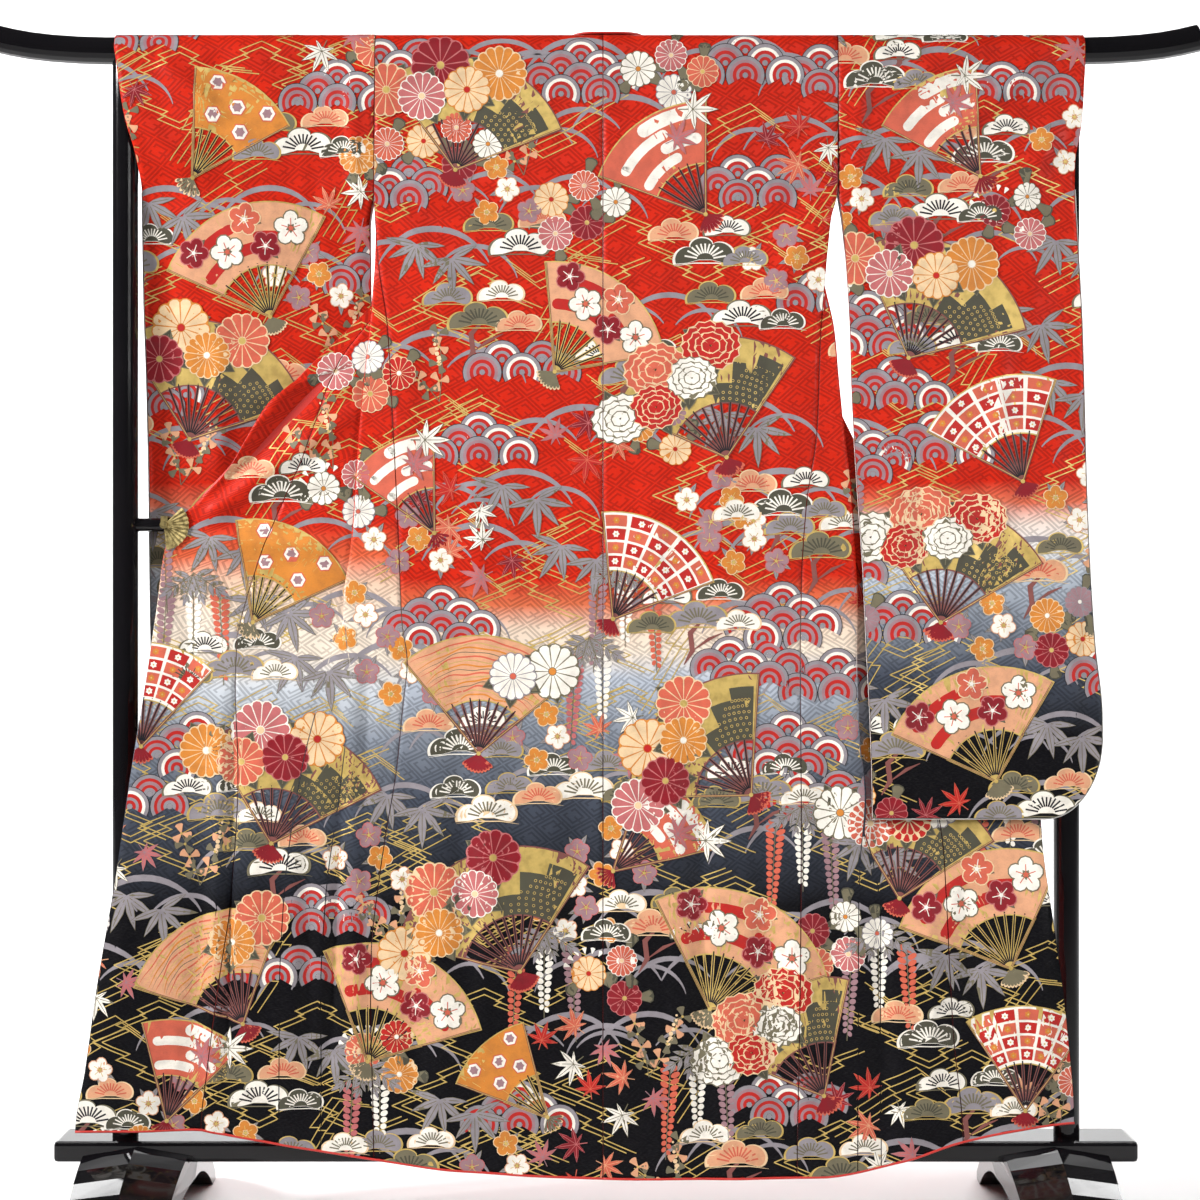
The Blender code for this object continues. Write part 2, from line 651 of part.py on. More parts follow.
def add_top_rail(material, collection):
    """The round top rail, whose ends curve up."""
    curve = bpy.data.curves.new("top_rail", "CURVE")
    curve.dimensions = "3D"
    curve.bevel_depth = RAIL_RADIUS
    curve.bevel_resolution = 6
    curve.use_fill_caps = True
    ends = table("x rise", (720, 0), (760, 1.2), (800, 4), (830, 7.5), (858, 12.5), (886, 19))
    places = [(-x, rise) for x, rise in zip(ends["x"][::-1], ends["rise"][::-1])]
    places += list(zip(ends["x"], ends["rise"]))
    spline = curve.splines.new("POLY")
    spline.points.add(len(places) - 1)
    for point, (x, rise) in zip(spline.points, places):
        point.co = (x, 0, RAIL_HEIGHT + rise, 1)
    piece = bpy.data.objects.new("top_rail", curve)
    curve.materials.append(material)
    collection.objects.link(piece)
    return piece


def add_posts(material, collection, cutters):
    """Two round posts, saddled under the top rail."""
    low = BEAM_HIGH + CLEAR
    saddle = cylinder("rail_saddle", RAIL_RADIUS + CLEAR, 2 * RAIL_STRAIGHT, (0, 0, RAIL_HEIGHT), across=True, sides=64)
    add_cutter(saddle, cutters)
    for side, way in (("left", -1), ("right", 1)):
        post = cylinder(
            f"post_{side}", POST_RADIUS, RAIL_HEIGHT - low, (way * POST_X, 0, (RAIL_HEIGHT + low) / 2), sides=32
        )
        post.data.materials.append(material)
        collection.objects.link(post)
        cut(post, saddle)
        shade(post)


def add_mid_rail(material, collection, cutters):
    """The thin middle rail between the posts, hollowed at its ends to fit them."""
    rail = cylinder("mid_rail", MID_RADIUS, 2 * POST_X - POST_RADIUS, (0, 0, MID_HEIGHT), across=True, sides=20)
    rail.data.materials.append(material)
    collection.objects.link(rail)
    for way in (-1, 1):
        seat = cylinder("post_seat", POST_RADIUS + CLEAR, 6 * MID_RADIUS, (way * POST_X, 0, MID_HEIGHT), sides=64)
        cut(rail, add_cutter(seat, cutters))
    shade(rail)


def add_beam(material, collection):
    half, depth = BEAM_LENGTH / 2, BEAM_DEPTH / 2
    beam = add_object(
        "base_beam", box_mesh("base_beam", (-half, -depth, BEAM_LOW), (half, depth, BEAM_HIGH)), material, collection
    )
    round_over = beam.modifiers.new("round_edges", "BEVEL")
    round_over.width = BEAM_ROUND
    round_over.segments = 2
    round_over.limit_method = "ANGLE"


def foot_outline(lowered):
    """Side view of a foot as (y, z): over the arch from toe to toe, then back under it."""
    length = FOOT_HALF_LENGTH - lowered
    outline = [(-length, 0.0)]
    for i in range(17):
        share = -1 + i / 8
        top = FOOT_TOE + (FOOT_TOP - FOOT_TOE) * (1 - share**2)
        outline.append((length * share, top - lowered * (1 - share**4)))
    outline.append((length, 0.0))
    inner = FOOT_HALF_LENGTH - FOOT_PAD
    outline += [(inner * -share, FOOT_ARCH * (1 - share**2)) for share in (-1 + i / 6 for i in range(13))]
    return outline


def add_feet(material, collection, cutters):
    """Arched feet, ridged along their tops and halved over the beam."""
    half, depth = BEAM_LENGTH / 2, BEAM_DEPTH / 2
    notch_mesh = box_mesh("beam_notch", (-half, -depth - CLEAR, BEAM_LOW - CLEAR), (half, depth + CLEAR, 2 * FOOT_TOP))
    notch = add_cutter(bpy.data.objects.new("beam_notch", notch_mesh), cutters)
    for side, way in (("left", -1), ("right", 1)):
        points, faces = [], []
        for station, lowered in ((-1, FOOT_RIDGE), (0, 0.0), (1, FOOT_RIDGE)):
            for y, z in foot_outline(lowered):
                reach = abs(y) / FOOT_HALF_LENGTH
                points.append((way * FOOT_X + station * (FOOT_HALF_WIDTH - FOOT_TAPER * reach), y, z))
        count = len(points) // 3
        for s in range(2):
            for k in range(count):
                n = (k + 1) % count
                faces.append((s * count + k, s * count + n, (s + 1) * count + n, (s + 1) * count + k))
        faces.append(tuple(range(count)))
        faces.append(tuple(range(2 * count, 3 * count)))
        foot = add_object(f"foot_{side}", mesh_from(f"foot_{side}", points, faces), material, collection)
        cut(foot, notch)
        shade(foot)


def add_clip(material, collection, cutters):
    """The fan that lies on the cloth, pleated between its ribs, and the grip behind it."""
    grid = []
    steps = 2 * FAN_RIBS
    for radius_share in (0, 0.35, 0.7, 1):
        row = []
        for i in range(steps + 1):
            angle = math.radians(mix(FAN_FROM, FAN_TO, i / steps))
            crest = i % 2
            radius = mix(FAN_INNER, FAN_RADIUS - (0 if crest else 1.2 * MM) * radius_share, radius_share)
            y = FAN_Y - FAN_PLEAT * crest * radius_share
            row.append((CLIP_X + radius * math.cos(angle), y, CLIP_Z + radius * math.sin(angle)))
        grid.append(row)
    add_grid_wall("clip_fan", grid, material, collection, FAN_WALL)

    reach = MID_RADIUS + CLEAR
    front = FAN_Y + FAN_WALL / 2 + CLEAR
    back = reach + GRIP_WALL
    top, low = MID_HEIGHT + reach + GRIP_WALL, MID_HEIGHT + reach - GRIP_DROP
    outline = [
        (front, low), (front, top), (back, top), (back, low), (back - GRIP_WALL, low),
        (back - GRIP_WALL, top - GRIP_WALL), (front + GRIP_WALL, top - GRIP_WALL), (front + GRIP_WALL, low),
    ]
    left, right = CLIP_X - GRIP_WIDTH / 2, CLIP_X + GRIP_WIDTH / 2
    points = [(x, y, z) for x in (left, right) for y, z in outline]
    count = len(outline)
    faces = [tuple(range(count)), tuple(range(count, 2 * count))]
    faces += [(k, (k + 1) % count, count + (k + 1) % count, count + k) for k in range(count)]
    grip = add_object("clip_grip", mesh_from("clip_grip", points, faces), material, collection)
    knob_back = FAN_Y - FAN_WALL / 2 - FAN_PLEAT - CLEAR
    turned = (
        ("clip_pin", PIN_RADIUS, front + GRIP_WALL / 2, knob_back - KNOB_DEPTH / 2),
        ("clip_knob", KNOB_RADIUS, knob_back, knob_back - KNOB_DEPTH),
    )
    for name, radius, near, far in turned:
        disc = cylinder(name, radius, near - far, (CLIP_X, (near + far) / 2, CLIP_Z), sides=20)
        disc.rotation_euler = (math.pi / 2, 0, 0)
        join = grip.modifiers.new(name, "BOOLEAN")
        join.operation = "UNION"
        join.solver = "EXACT"
        join.object = add_cutter(disc, cutters)
    return grip


def main():
    for old in list(bpy.data.objects):
        bpy.data.objects.remove(old, do_unlink=True)
    garment = new_collection(GARMENT)
    cutters = new_collection("cutters")
    red = make_material("vermilion_silk", (0.62, 0.035, 0.02), 0.45)
    front_red = make_material("vermilion_silk_front", (0.58, 0.03, 0.02), 0.45)
    navy = make_material("navy_silk", (0.012, 0.014, 0.03), 0.45)
    sleeve_red = make_material("vermilion_silk_sleeve", (0.66, 0.04, 0.022), 0.45)
    collar_red = make_material("vermilion_silk_collar", (0.55, 0.03, 0.02), 0.5)
    lacquer = make_material("black_lacquer", (0.004, 0.004, 0.005), 0.12)
    brass = make_material("aged_brass", (0.5, 0.4, 0.16), 0.35, 1.0)

    for side in ("left", "right"):
        add_back(side, red, garment)
        add_front(side, front_red, navy, garment)
        add_sleeve(side, sleeve_red, garment)
    add_collar(collar_red, garment)
    add_top_rail(lacquer, garment)
    add_posts(lacquer, garment, cutters)
    add_mid_rail(lacquer, garment, cutters)
    add_beam(lacquer, garment)
    add_feet(lacquer, garment, cutters)
    add_clip(brass, garment, cutters)


main()
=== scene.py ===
"""The looks of a furisode kimono that hangs, its back to the viewer, over a lacquered stand.

Metres, +Z up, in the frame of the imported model. Tables hold millimetres, read with table().
"""

import logging
import math
from collections.abc import Callable, Sequence
from dataclasses import dataclass, field
from enum import Enum

import bpy
import numpy as np
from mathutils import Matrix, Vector
from mathutils.bvhtree import BVHTree


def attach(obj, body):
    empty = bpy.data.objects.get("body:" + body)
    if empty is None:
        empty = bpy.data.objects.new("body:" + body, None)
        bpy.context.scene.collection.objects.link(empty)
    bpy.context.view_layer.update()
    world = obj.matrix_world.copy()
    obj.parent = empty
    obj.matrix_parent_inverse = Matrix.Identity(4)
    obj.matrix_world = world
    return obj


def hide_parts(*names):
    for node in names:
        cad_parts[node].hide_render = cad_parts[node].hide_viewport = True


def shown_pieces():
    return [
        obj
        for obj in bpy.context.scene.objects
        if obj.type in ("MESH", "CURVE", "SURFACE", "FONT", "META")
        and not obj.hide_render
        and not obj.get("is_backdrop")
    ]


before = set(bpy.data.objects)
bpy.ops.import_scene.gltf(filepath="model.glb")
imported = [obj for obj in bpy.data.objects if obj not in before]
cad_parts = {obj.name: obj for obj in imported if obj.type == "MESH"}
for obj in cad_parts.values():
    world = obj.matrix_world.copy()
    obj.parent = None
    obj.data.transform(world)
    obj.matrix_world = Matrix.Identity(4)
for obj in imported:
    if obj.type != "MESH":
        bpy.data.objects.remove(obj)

log = logging.getLogger("furisode")

MM = 0.001
Table = dict[str, np.ndarray]
Colour = tuple[float, float, float]


def table(columns: str, *rows: tuple[float, ...]) -> Table:
    """Reads rows of millimetres under named columns.

    Args:
        columns: The names of the columns, parted by spaces.
        rows: One tuple of millimetres for each row.

    Returns:
        One array of metres for each column.
    """
    return {name: np.array(values, float) * MM for name, values in zip(columns.split(), zip(*rows))}


# Cloth
SEAM_GAP = 0.06 * MM
SHELL = 1.2 * MM
GRID = 8 * MM
TURN = 5 * MM
FOLD_STEP = 5.5 * MM
COLLAR_WIDTH = 55 * MM
COLLAR_SHELL = 2.8 * MM

# The cloth's middle line, wrapped over the top rail, and its lean past the base beam
RAIL_HEIGHT = 1720.2 * MM
HANG = 22.5 * MM
COLLAR_HANG = 26.6 * MM
COLLAR_STEP = 4.1 * MM
LEAN = 33.5 * MM
LEAN_FALL = 1600 * MM
CENTRE_BACK = 10.3 * MM
ARMHOLE_LOW = 1511 * MM

SIDES = {
    "left": table(
        "height x",
        (1745, -323), (1511, -324), (1411, -318), (1313, -304), (1159, -295), (1023, -288), (883, -282),
        (822, -274), (759, -280), (661, -290), (577, -304), (493, -316), (405, -325), (312, -326),
        (203, -323), (70, -321),
    ),
    "right": table(
        "height x",
        (1745, 354), (1511, 353), (1468, 343), (1430, 339), (1366, 333), (1306, 328), (1159, 322),
        (1048, 306), (940, 299), (818, 297), (595, 298), (274, 294), (70, 291),
    ),
}
SEAM_TOP = {"left": 1411 * MM, "right": 1307 * MM}
HEM = table(
    "x height",
    (-760, 144), (-576, 147), (-554, 143), (-442, 124), (-321, 104), (-197, 88), (47, 76), (324, 78),
    (446, 102), (531, 129), (658, 154), (700, 157),
)

# How far behind the top rail's axis each layer of a front lies, down to the side seam's start
FRONT_LAYERS = {
    "left": table(
        "height side middle rear",
        (1720.2, 22.5, 22.5, 22.5), (1680, 21, 22.5, 44), (1640, 18, 22, 44), (1590, 11, 17, 34),
        (1511, -2, 6, 17), (1461, -12, -4, 5), (1411, -27.5, -15, -6), (1360, -29, -21, -14),
        (1307, -31.1, -25, -19), (1240, -32.5, -27, -21.5),
    ),
    "right": table(
        "height side middle rear",
        (1720.2, 22.5, 22.5, 22.5), (1680, 21, 22.5, 44), (1640, 18, 22, 44), (1590, 11, 17, 34),
        (1511, -2, 7, 18), (1461, -6, 1, 10), (1411, -12, -6, 3), (1360, -20, -14, -6),
        (1307, -31, -22, -15), (1240, -32.5, -27, -21.5),
    ),
}

# Each front goes from its side seam out to a fold, back to a turn behind, and out again to the edge
FRONT_ROWS = {
    "left": table(
        "height fold turn seam edge drop",
        (1720.2, -295, -80, -57, -57, 0), (1680, -296, -80, -72, -72, 2), (1640, -297, -84, -100, -100, 5),
        (1590, -299, -92, -131, -131, 8), (1511, -303, -111, -191, -191, 15), (1461, -322, -137, -245, -250, 31),
        (1411, -323, -169, -292, -307, 44), (1375, -326, -184, -322, -347, 51),
        (1313, -332, -210, -376, -430, 71), (1232, -341, -233, -400, -486, 44),
        (1159, -348, -249, -424, -530, 46), (1089, -352, -292, -450, -579, 31),
        (1035, -355, -314, -468, -611, 9), (985, -359, -327, -487, -630, 4), (912, -368, -350, -510, -639, 0),
        (854, -365, -379, -522, -647, 0), (796, -357, -393, -524, -654, 0), (651, -371, -429, -519, -676, 0),
        (478, -393, -451, -529, -700, 0), (333, -400, -457, -547, -723, 0), (206, -399, -457, -562, -739, 0),
        (104, -399, -457, -571, -753, 0),
    ),
    "right": table(
        "height fold turn seam edge drop",
        (1720.2, 322, 114, 91, 91, 0), (1680, 322, 114, 104, 104, 2), (1640, 321, 112, 124, 124, 4),
        (1590, 320, 118, 139, 139, 4), (1511, 315, 146, 192, 199, 0), (1423, 322, 158, 225, 241, 0),
        (1350, 341, 158, 255, 277, 0), (1306, 350, 182, 268, 299, 0), (1233, 357, 200, 293, 335, 0),
        (1159, 365, 223, 316, 371, 0), (1087, 374, 249, 339, 406, 0), (998, 380, 275, 368, 450, 0),
        (912, 384, 297, 399, 493, 0), (818, 383, 313, 429, 539, 0), (709, 386, 337, 465, 593, 0),
        (628, 394, 364, 492, 633, 0), (593, 392, 380, 499, 647, 0), (535, 386, 400, 506, 651, 0),
        (449, 383, 412, 509, 660, 0), (268, 382, 411, 517, 681, 0), (78, 381, 411, 531, 692, 0),
    ),
}
# Between these heights the hidden fold opens out flat
FOLD_OPENS = {"left": (760 * MM, 880 * MM), "right": (430 * MM, 560 * MM)}
OPEN_RUN = 35 * MM
LAPEL_ENDS = (1580 * MM, 1640 * MM)
OKUMI_TIP = {"left": 1440 * MM, "right": 1490 * MM}

SLEEVE_OUTLINES = {
    "left": table(
        "height inner outer front_outer",
        (1745, -323, -706, -706), (1691, -323, -700, -700), (1621, -324, -689, -689),
        (1565, -324, -674, -674), (1511, -324, -667, -667), (1460, -331, -667, -667),
        (1350, -331, -666, -666), (1239, -331, -663, -663), (1128, -331, -661, -661),
        (883, -332, -658, -658), (709, -333, -654, -654), (590, -334, -653, -653),
    ),
    "right": table(
        "height inner outer front_outer",
        (1745, 354, 715, 714), (1700, 354, 715, 712), (1660, 354, 713, 690), (1640, 354, 712, 664),
        (1600, 354, 708, 658), (1550, 354, 699, 662), (1511, 354, 698, 698), (1468, 359, 700, 700),
        (1394, 365, 704, 704), (1306, 370, 708, 708), (1224, 372, 710, 710), (1087, 379, 713, 713),
        (949, 388, 718, 718), (849, 392, 724, 724), (748, 397, 734, 734), (590, 401, 735, 735),
    ),
}
SLEEVE_LAYERS = {
    "left": table(
        "height back_in back_out front_in front_out",
        (1720.2, -22.5, -22.5, 22.5, 22.5), (1660, -23.8, -23.4, 20, 22), (1600, -25, -22.5, 12, 20),
        (1550, -26, -14, 4, 16), (1511, -26.9, -4, -2, 7), (1461, -14, 2, 3, 9), (1400, -3, 5, 8, 11),
        (1350, 4, 7, 12, 13), (1300, 9, 10, 15, 15.5), (1200, 13, 13, 18, 18), (1060, 16.5, 16.5, 21.5, 21.5),
        (590, 17, 17, 22, 22),
    ),
    "right": table(
        "height back_in back_out front_in front_out",
        (1720.2, -22.5, -22.5, 22.5, 22.5), (1660, -23.8, -23.6, 20, 22), (1640, -24.2, -24, 17, 20),
        (1600, -25, -25, 12, -2), (1550, -26, -28, 4, -22.4), (1511, -26.9, -30, -2, -23.5),
        (1450, -29.5, -31.5, -16, -25.5), (1370, -32, -33.5, -24, -28), (1307, -33, -35, -27, -30),
        (1150, -36.5, -37.5, -31.5, -32.5), (1030, -39.5, -40, -34.5, -35), (590, -49, -49, -44, -44),
    ),
}
SLEEVE_BOTTOM = 596 * MM
CORNER_ACROSS = 85 * MM
CORNER_UP = 120 * MM
SLEEVE_SWELL = 1.5 * MM

# Broad soft folds that the solids have too: a line down the cloth, its half width, and how far it stands out
FOLD_COLUMNS = "top_x top_z low_x low_z width rise"
FOLDS = table(
    FOLD_COLUMNS,
    (-240, 900, -215, 60, 45, 5), (-95, 1000, -110, 60, 50, 4), (60, 850, 75, 60, 50, 4),
    (190, 900, 205, 60, 45, 5), (-330, 1650, -130, 1250, 55, 3), (350, 1650, 190, 1200, 55, 3),
    (-640, 620, -655, 120, 40, 6), (590, 560, 620, 120, 40, 5), (440, 560, 450, 120, 35, 5),
    (-450, 760, -440, 120, 45, 5),
)
SLEEVE_FOLDS = table(
    FOLD_COLUMNS,
    (-690, 1700, -470, 1380, 45, 4), (-600, 1300, -590, 650, 40, 3), (690, 1690, 480, 1350, 45, 4),
    (640, 1250, 660, 620, 40, 5), (520, 1200, 520, 620, 40, 4), (430, 1300, 440, 620, 35, 4),
)

# Creases of the body's cloth: ridges have a positive rise, troughs a negative one
BODY_CREASES = table(
    FOLD_COLUMNS,
    (-330, 1560, -180, 1420, 14, -2.2), (-300, 1500, -190, 1330, 18, 1.8), (-120, 1700, -95, 1500, 12, -1.2),
    (120, 1700, 98, 1520, 12, -1.2), (340, 1560, 215, 1400, 15, -2.2), (325, 1480, 240, 1310, 18, 1.8),
    (-250, 1330, -235, 1010, 16, -1.6), (-180, 1240, -172, 900, 20, 1.6), (245, 1330, 250, 1010, 15, -1.6),
    (175, 1260, 186, 900, 20, 1.5), (-60, 1180, -70, 800, 18, -1.1), (75, 1150, 88, 820, 18, 1.1),
    (-205, 880, -190, 300, 16, -2.4), (-150, 820, -165, 120, 20, 2.2), (-30, 760, -25, 100, 22, -2.0),
    (105, 800, 130, 120, 22, 2.2), (150, 720, 158, 100, 16, -2.6), (240, 860, 255, 130, 18, -2.2),
    (-270, 640, -262, 120, 16, -2.0), (30, 560, 38, 90, 18, 1.6), (-330, 700, -352, 140, 15, 3.0),
    (-365, 690, -392, 150, 10, -3.4), (-425, 760, -412, 140, 16, -2.6), (-500, 700, -505, 150, 22, 2.6),
    (-560, 640, -590, 160, 18, -2.4), (-680, 520, -710, 150, 22, 2.2), (340, 820, 352, 130, 18, -2.6),
    (-523, 830, -538, 140, 6, -2.6), (-542, 840, -556, 150, 13, 2.4), (-330, 930, -338, 250, 9, -1.8),
    (-352, 900, -362, 260, 15, 1.8), (410, 520, 420, 120, 14, -2.4), (480, 500, 492, 130, 18, 2.2), (535, 540, 560, 150, 16, -2.6),
    (640, 520, 662, 160, 20, 2.4), (290, 520, 302, 110, 16, 2.0),
)
# Creases of the parts of the fronts that show past the folds: the left ones fan out from the clip
LEFT_FRONT_CREASES = table(
    FOLD_COLUMNS,
    (-600, 1040, -330, 1370, 17, 3.4), (-592, 1032, -330, 1300, 12, -3.0), (-590, 1020, -330, 1205, 15, 2.8),
    (-585, 1008, -335, 1090, 13, -2.4), (-590, 1000, -350, 985, 15, 2.2), (-600, 992, -395, 880, 13, -2.2),
    (-610, 985, -470, 780, 16, 2.6), (-618, 975, -560, 720, 11, -2.2), (-585, 1105, -400, 1300, 10, -2.2),
)
RIGHT_FRONT_CREASES = table(
    FOLD_COLUMNS,
    (330, 1190, 372, 640, 14, 1.2), (385, 1050, 415, 600, 12, -2.2), (440, 900, 480, 600, 14, 2.2),
)
# The clip holds the left front flat where its fan lies on it
CLIP_X = -630 * MM
CLIP_Z = 1022 * MM
CLIP_HOLD = (40 * MM, 75 * MM)
SLEEVE_CREASES = table(
    FOLD_COLUMNS,
    (-700, 1690, -560, 1560, 16, -2.6), (-655, 1715, -520, 1600, 14, 2.4), (-590, 1715, -470, 1630, 12, -2.2),
    (-690, 1640, -590, 1520, 15, 2.4), (-540, 1718, -430, 1650, 14, 1.8), (-440, 1716, -380, 1600, 13, -1.8),
    (-360, 1700, -350, 1480, 12, 1.8), (-395, 1600, -440, 1330, 15, -1.8), (-640, 1480, -615, 1100, 16, -1.6),
    (-560, 1420, -555, 1000, 18, 1.6), (-640, 1000, -628, 640, 14, 1.6), (-480, 950, -486, 640, 16, -1.6),
    (705, 1690, 575, 1550, 15, -2.6), (660, 1716, 520, 1590, 14, 2.4), (600, 1716, 480, 1640, 12, -2.2),
    (690, 1620, 610, 1490, 15, 2.2), (520, 1718, 430, 1640, 13, 1.8), (440, 1716, 395, 1600, 12, -1.8),
    (385, 1690, 380, 1470, 12, 1.8), (420, 1580, 455, 1330, 15, -1.6), (690, 1400, 688, 1000, 15, -1.6),
    (590, 1350, 592, 760, 17, 1.8), (470, 1180, 478, 640, 14, -2.0), (560, 1050, 566, 620, 15, -1.8),
    (690, 980, 700, 650, 14, 1.8), (620, 900, 626, 620, 12, -1.6),
)

COLLAR_LEGS = {
    "left": table(
        "x height",
        (-575, 1066), (-530, 1113), (-486, 1186), (-430, 1244), (-392, 1281), (-347, 1324), (-307, 1367),
        (-257, 1423), (-191, 1496), (-160, 1540), (-131, 1584), (-100, 1635), (-76, 1680),
    ),
    "right": table(
        "x height",
        (420, 1062), (400, 1100), (371, 1159), (335, 1233), (299, 1306), (277, 1350), (241, 1423), (221, 1467),
        (199, 1511), (168, 1550), (139, 1588), (124, 1636), (108, 1680),
    ),
}
NECK_MIDDLE = 17 * MM
NECK_HALF = 77 * MM
NECK_CORNER = 62 * MM
NECK_TOP = 1767 * MM


def smooth_at(column_table: Table, column: str, at: np.ndarray, key: str = "height") -> np.ndarray:
    """Reads a smooth curve with no overshoot through a table's column.

    Args:
        column_table: The table.
        column: The column to read.
        at: Where to read it.
        key: The column that at is measured along.

    Returns:
        The column's value at each place.
    """
    keys, values = column_table[key], column_table[column]
    if keys[0] > keys[-1]:
        keys, values = keys[::-1], values[::-1]
    at = np.clip(np.asarray(at, float), keys[0], keys[-1])
    steps = np.diff(keys)
    slopes = np.diff(values) / steps
    tangents = np.zeros(len(keys))
    same_way = slopes[:-1] * slopes[1:] > 0
    tangents[1:-1][same_way] = 2 / (1 / slopes[:-1][same_way] + 1 / slopes[1:][same_way])
    i = np.clip(np.searchsorted(keys, at, side="right") - 1, 0, len(steps) - 1)
    t = (at - keys[i]) / steps[i]
    return (
        values[i] * (2 * t**3 - 3 * t**2 + 1)
        + values[i + 1] * (3 * t**2 - 2 * t**3)
        + steps[i] * (tangents[i] * (t**3 - 2 * t**2 + t) + tangents[i + 1] * (t**3 - t**2))
    )


def ease(low: float, high: float, at: np.ndarray) -> np.ndarray:
    """0 below low, 1 above high, and smooth between."""
    t = np.clip((np.asarray(at, float) - low) / (high - low), 0.0, 1.0)
    return t * t * (3 - 2 * t)


def mix(a: float, b: float, t: float) -> float:
    """The value that lies the share t of the way from a to b."""
    return a + (b - a) * t


def fold_rise(x: np.ndarray, z: np.ndarray, folds: Table, ends: tuple[float, ...] = (0, 0.35, 0.9, 1.2)) -> np.ndarray:
    """Works out how far soft folds push the cloth out.

    Args:
        x: Places across the cloth.
        z: Their heights.
        folds: A table of fold lines.
        ends: Shares of a line between which it rises and then dies away.

    Returns:
        The rise at each place, in metres.
    """
    rise = np.zeros(np.broadcast(x, z).shape)
    for top_x, top_z, low_x, low_z, width, out in zip(*folds.values()):
        run_x, run_z = low_x - top_x, low_z - top_z
        length = math.hypot(run_x, run_z)
        down = ((x - top_x) * run_x + (z - top_z) * run_z) / length**2
        aside = ((x - top_x) * run_z - (z - top_z) * run_x) / length
        rise += out * np.exp(-((aside / width) ** 2)) * ease(*ends[:2], down) * (1 - ease(*ends[2:], down))
    return rise


CREASE_ENDS = (-0.05, 0.3, 0.6, 1.1)
CREST_FADE = (1690 * MM, 1718 * MM)
# Troughs are deeper low down, where no layer of a front lies behind the back
SINGLE_LAYER = (420 * MM, 760 * MM)
RIDGE_GAIN = 2.8
TROUGH_GAIN = 1.5
LOW_TROUGH_GAIN = 3.0


def crease_rise(x: np.ndarray, z: np.ndarray, creases: Table) -> np.ndarray:
    """The rise of listed creases, which die away before the cloth turns over the rail."""
    rise = fold_rise(x, z, creases, CREASE_ENDS) * (1 - 0.6 * ease(*CREST_FADE, z))
    trough_gain = mix(LOW_TROUGH_GAIN, TROUGH_GAIN, ease(*SINGLE_LAYER, z))
    return rise * np.where(rise > 0, RIDGE_GAIN, trough_gain)


def lean_depth(z: np.ndarray) -> np.ndarray:
    """Y of the garment's back before its folds: it leans out to pass in front of the base beam."""
    return -HANG - LEAN * np.clip((RAIL_HEIGHT - z) / LEAN_FALL, 0.0, 1.0)


def hem_height(x: np.ndarray) -> np.ndarray:
    """Height of the hem at a place across the garment."""
    return smooth_at(HEM, "height", x, key="x")


def side_x(side: str, z: np.ndarray) -> np.ndarray:
    """X of the back's side edge at a height."""
    return smooth_at(SIDES[side], "x", z)


def way_of(side: str) -> int:
    """-1 for the left side and 1 for the right."""
    return -1 if side == "left" else 1


def over_rail(height: np.ndarray, radius: float, near: bool) -> tuple[np.ndarray, np.ndarray]:
    """Places a height that is unrolled round the rail above its axis.

    Args:
        height: Unrolled heights.
        radius: How far from the rail's axis the cloth lies.
        near: Whether it is on the near side, that of the garment's back.

    Returns:
        Y and Z of each.
    """
    turn = np.maximum(height - RAIL_HEIGHT, 0) / radius
    return (-1 if near else 1) * radius * np.cos(turn), RAIL_HEIGHT + radius * np.sin(turn)


def link(piece: bpy.types.Object) -> bpy.types.Object:
    """Puts a piece into the scene and has it move with the one body."""
    bpy.context.scene.collection.objects.link(piece)
    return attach(piece, "root")


def grid_faces(rows: int, columns: int, first: int = 0, flipped: bool = False) -> list[tuple[int, ...]]:
    """Quads of a grid of points.

    Args:
        rows: Number of rows.
        columns: Number of points in a row.
        first: Index of the grid's first point.
        flipped: Whether the faces turn the other way round.

    Returns:
        The quads' point indices.
    """
    quads = [
        (first + r * columns + c, first + r * columns + c + 1, first + (r + 1) * columns + c + 1, first + (r + 1) * columns + c)
        for r in range(rows - 1)
        for c in range(columns - 1)
    ]
    return [quad[::-1] for quad in quads] if flipped else quads


def mesh_piece(name: str, points: np.ndarray, faces: list[tuple[int, ...]], smooth: bool = True) -> bpy.types.Object:
    """Makes a mesh object in the scene.

    Args:
        name: Its name.
        points: Its corners.
        faces: Its faces, as indices of corners.
        smooth: Whether it is shaded smooth.

    Returns:
        The new object.
    """
    mesh = bpy.data.meshes.new(name)
    mesh.from_pydata(np.asarray(points, float).tolist(), [], faces)
    if smooth:
        mesh.shade_smooth()
    return link(bpy.data.objects.new(name, mesh))


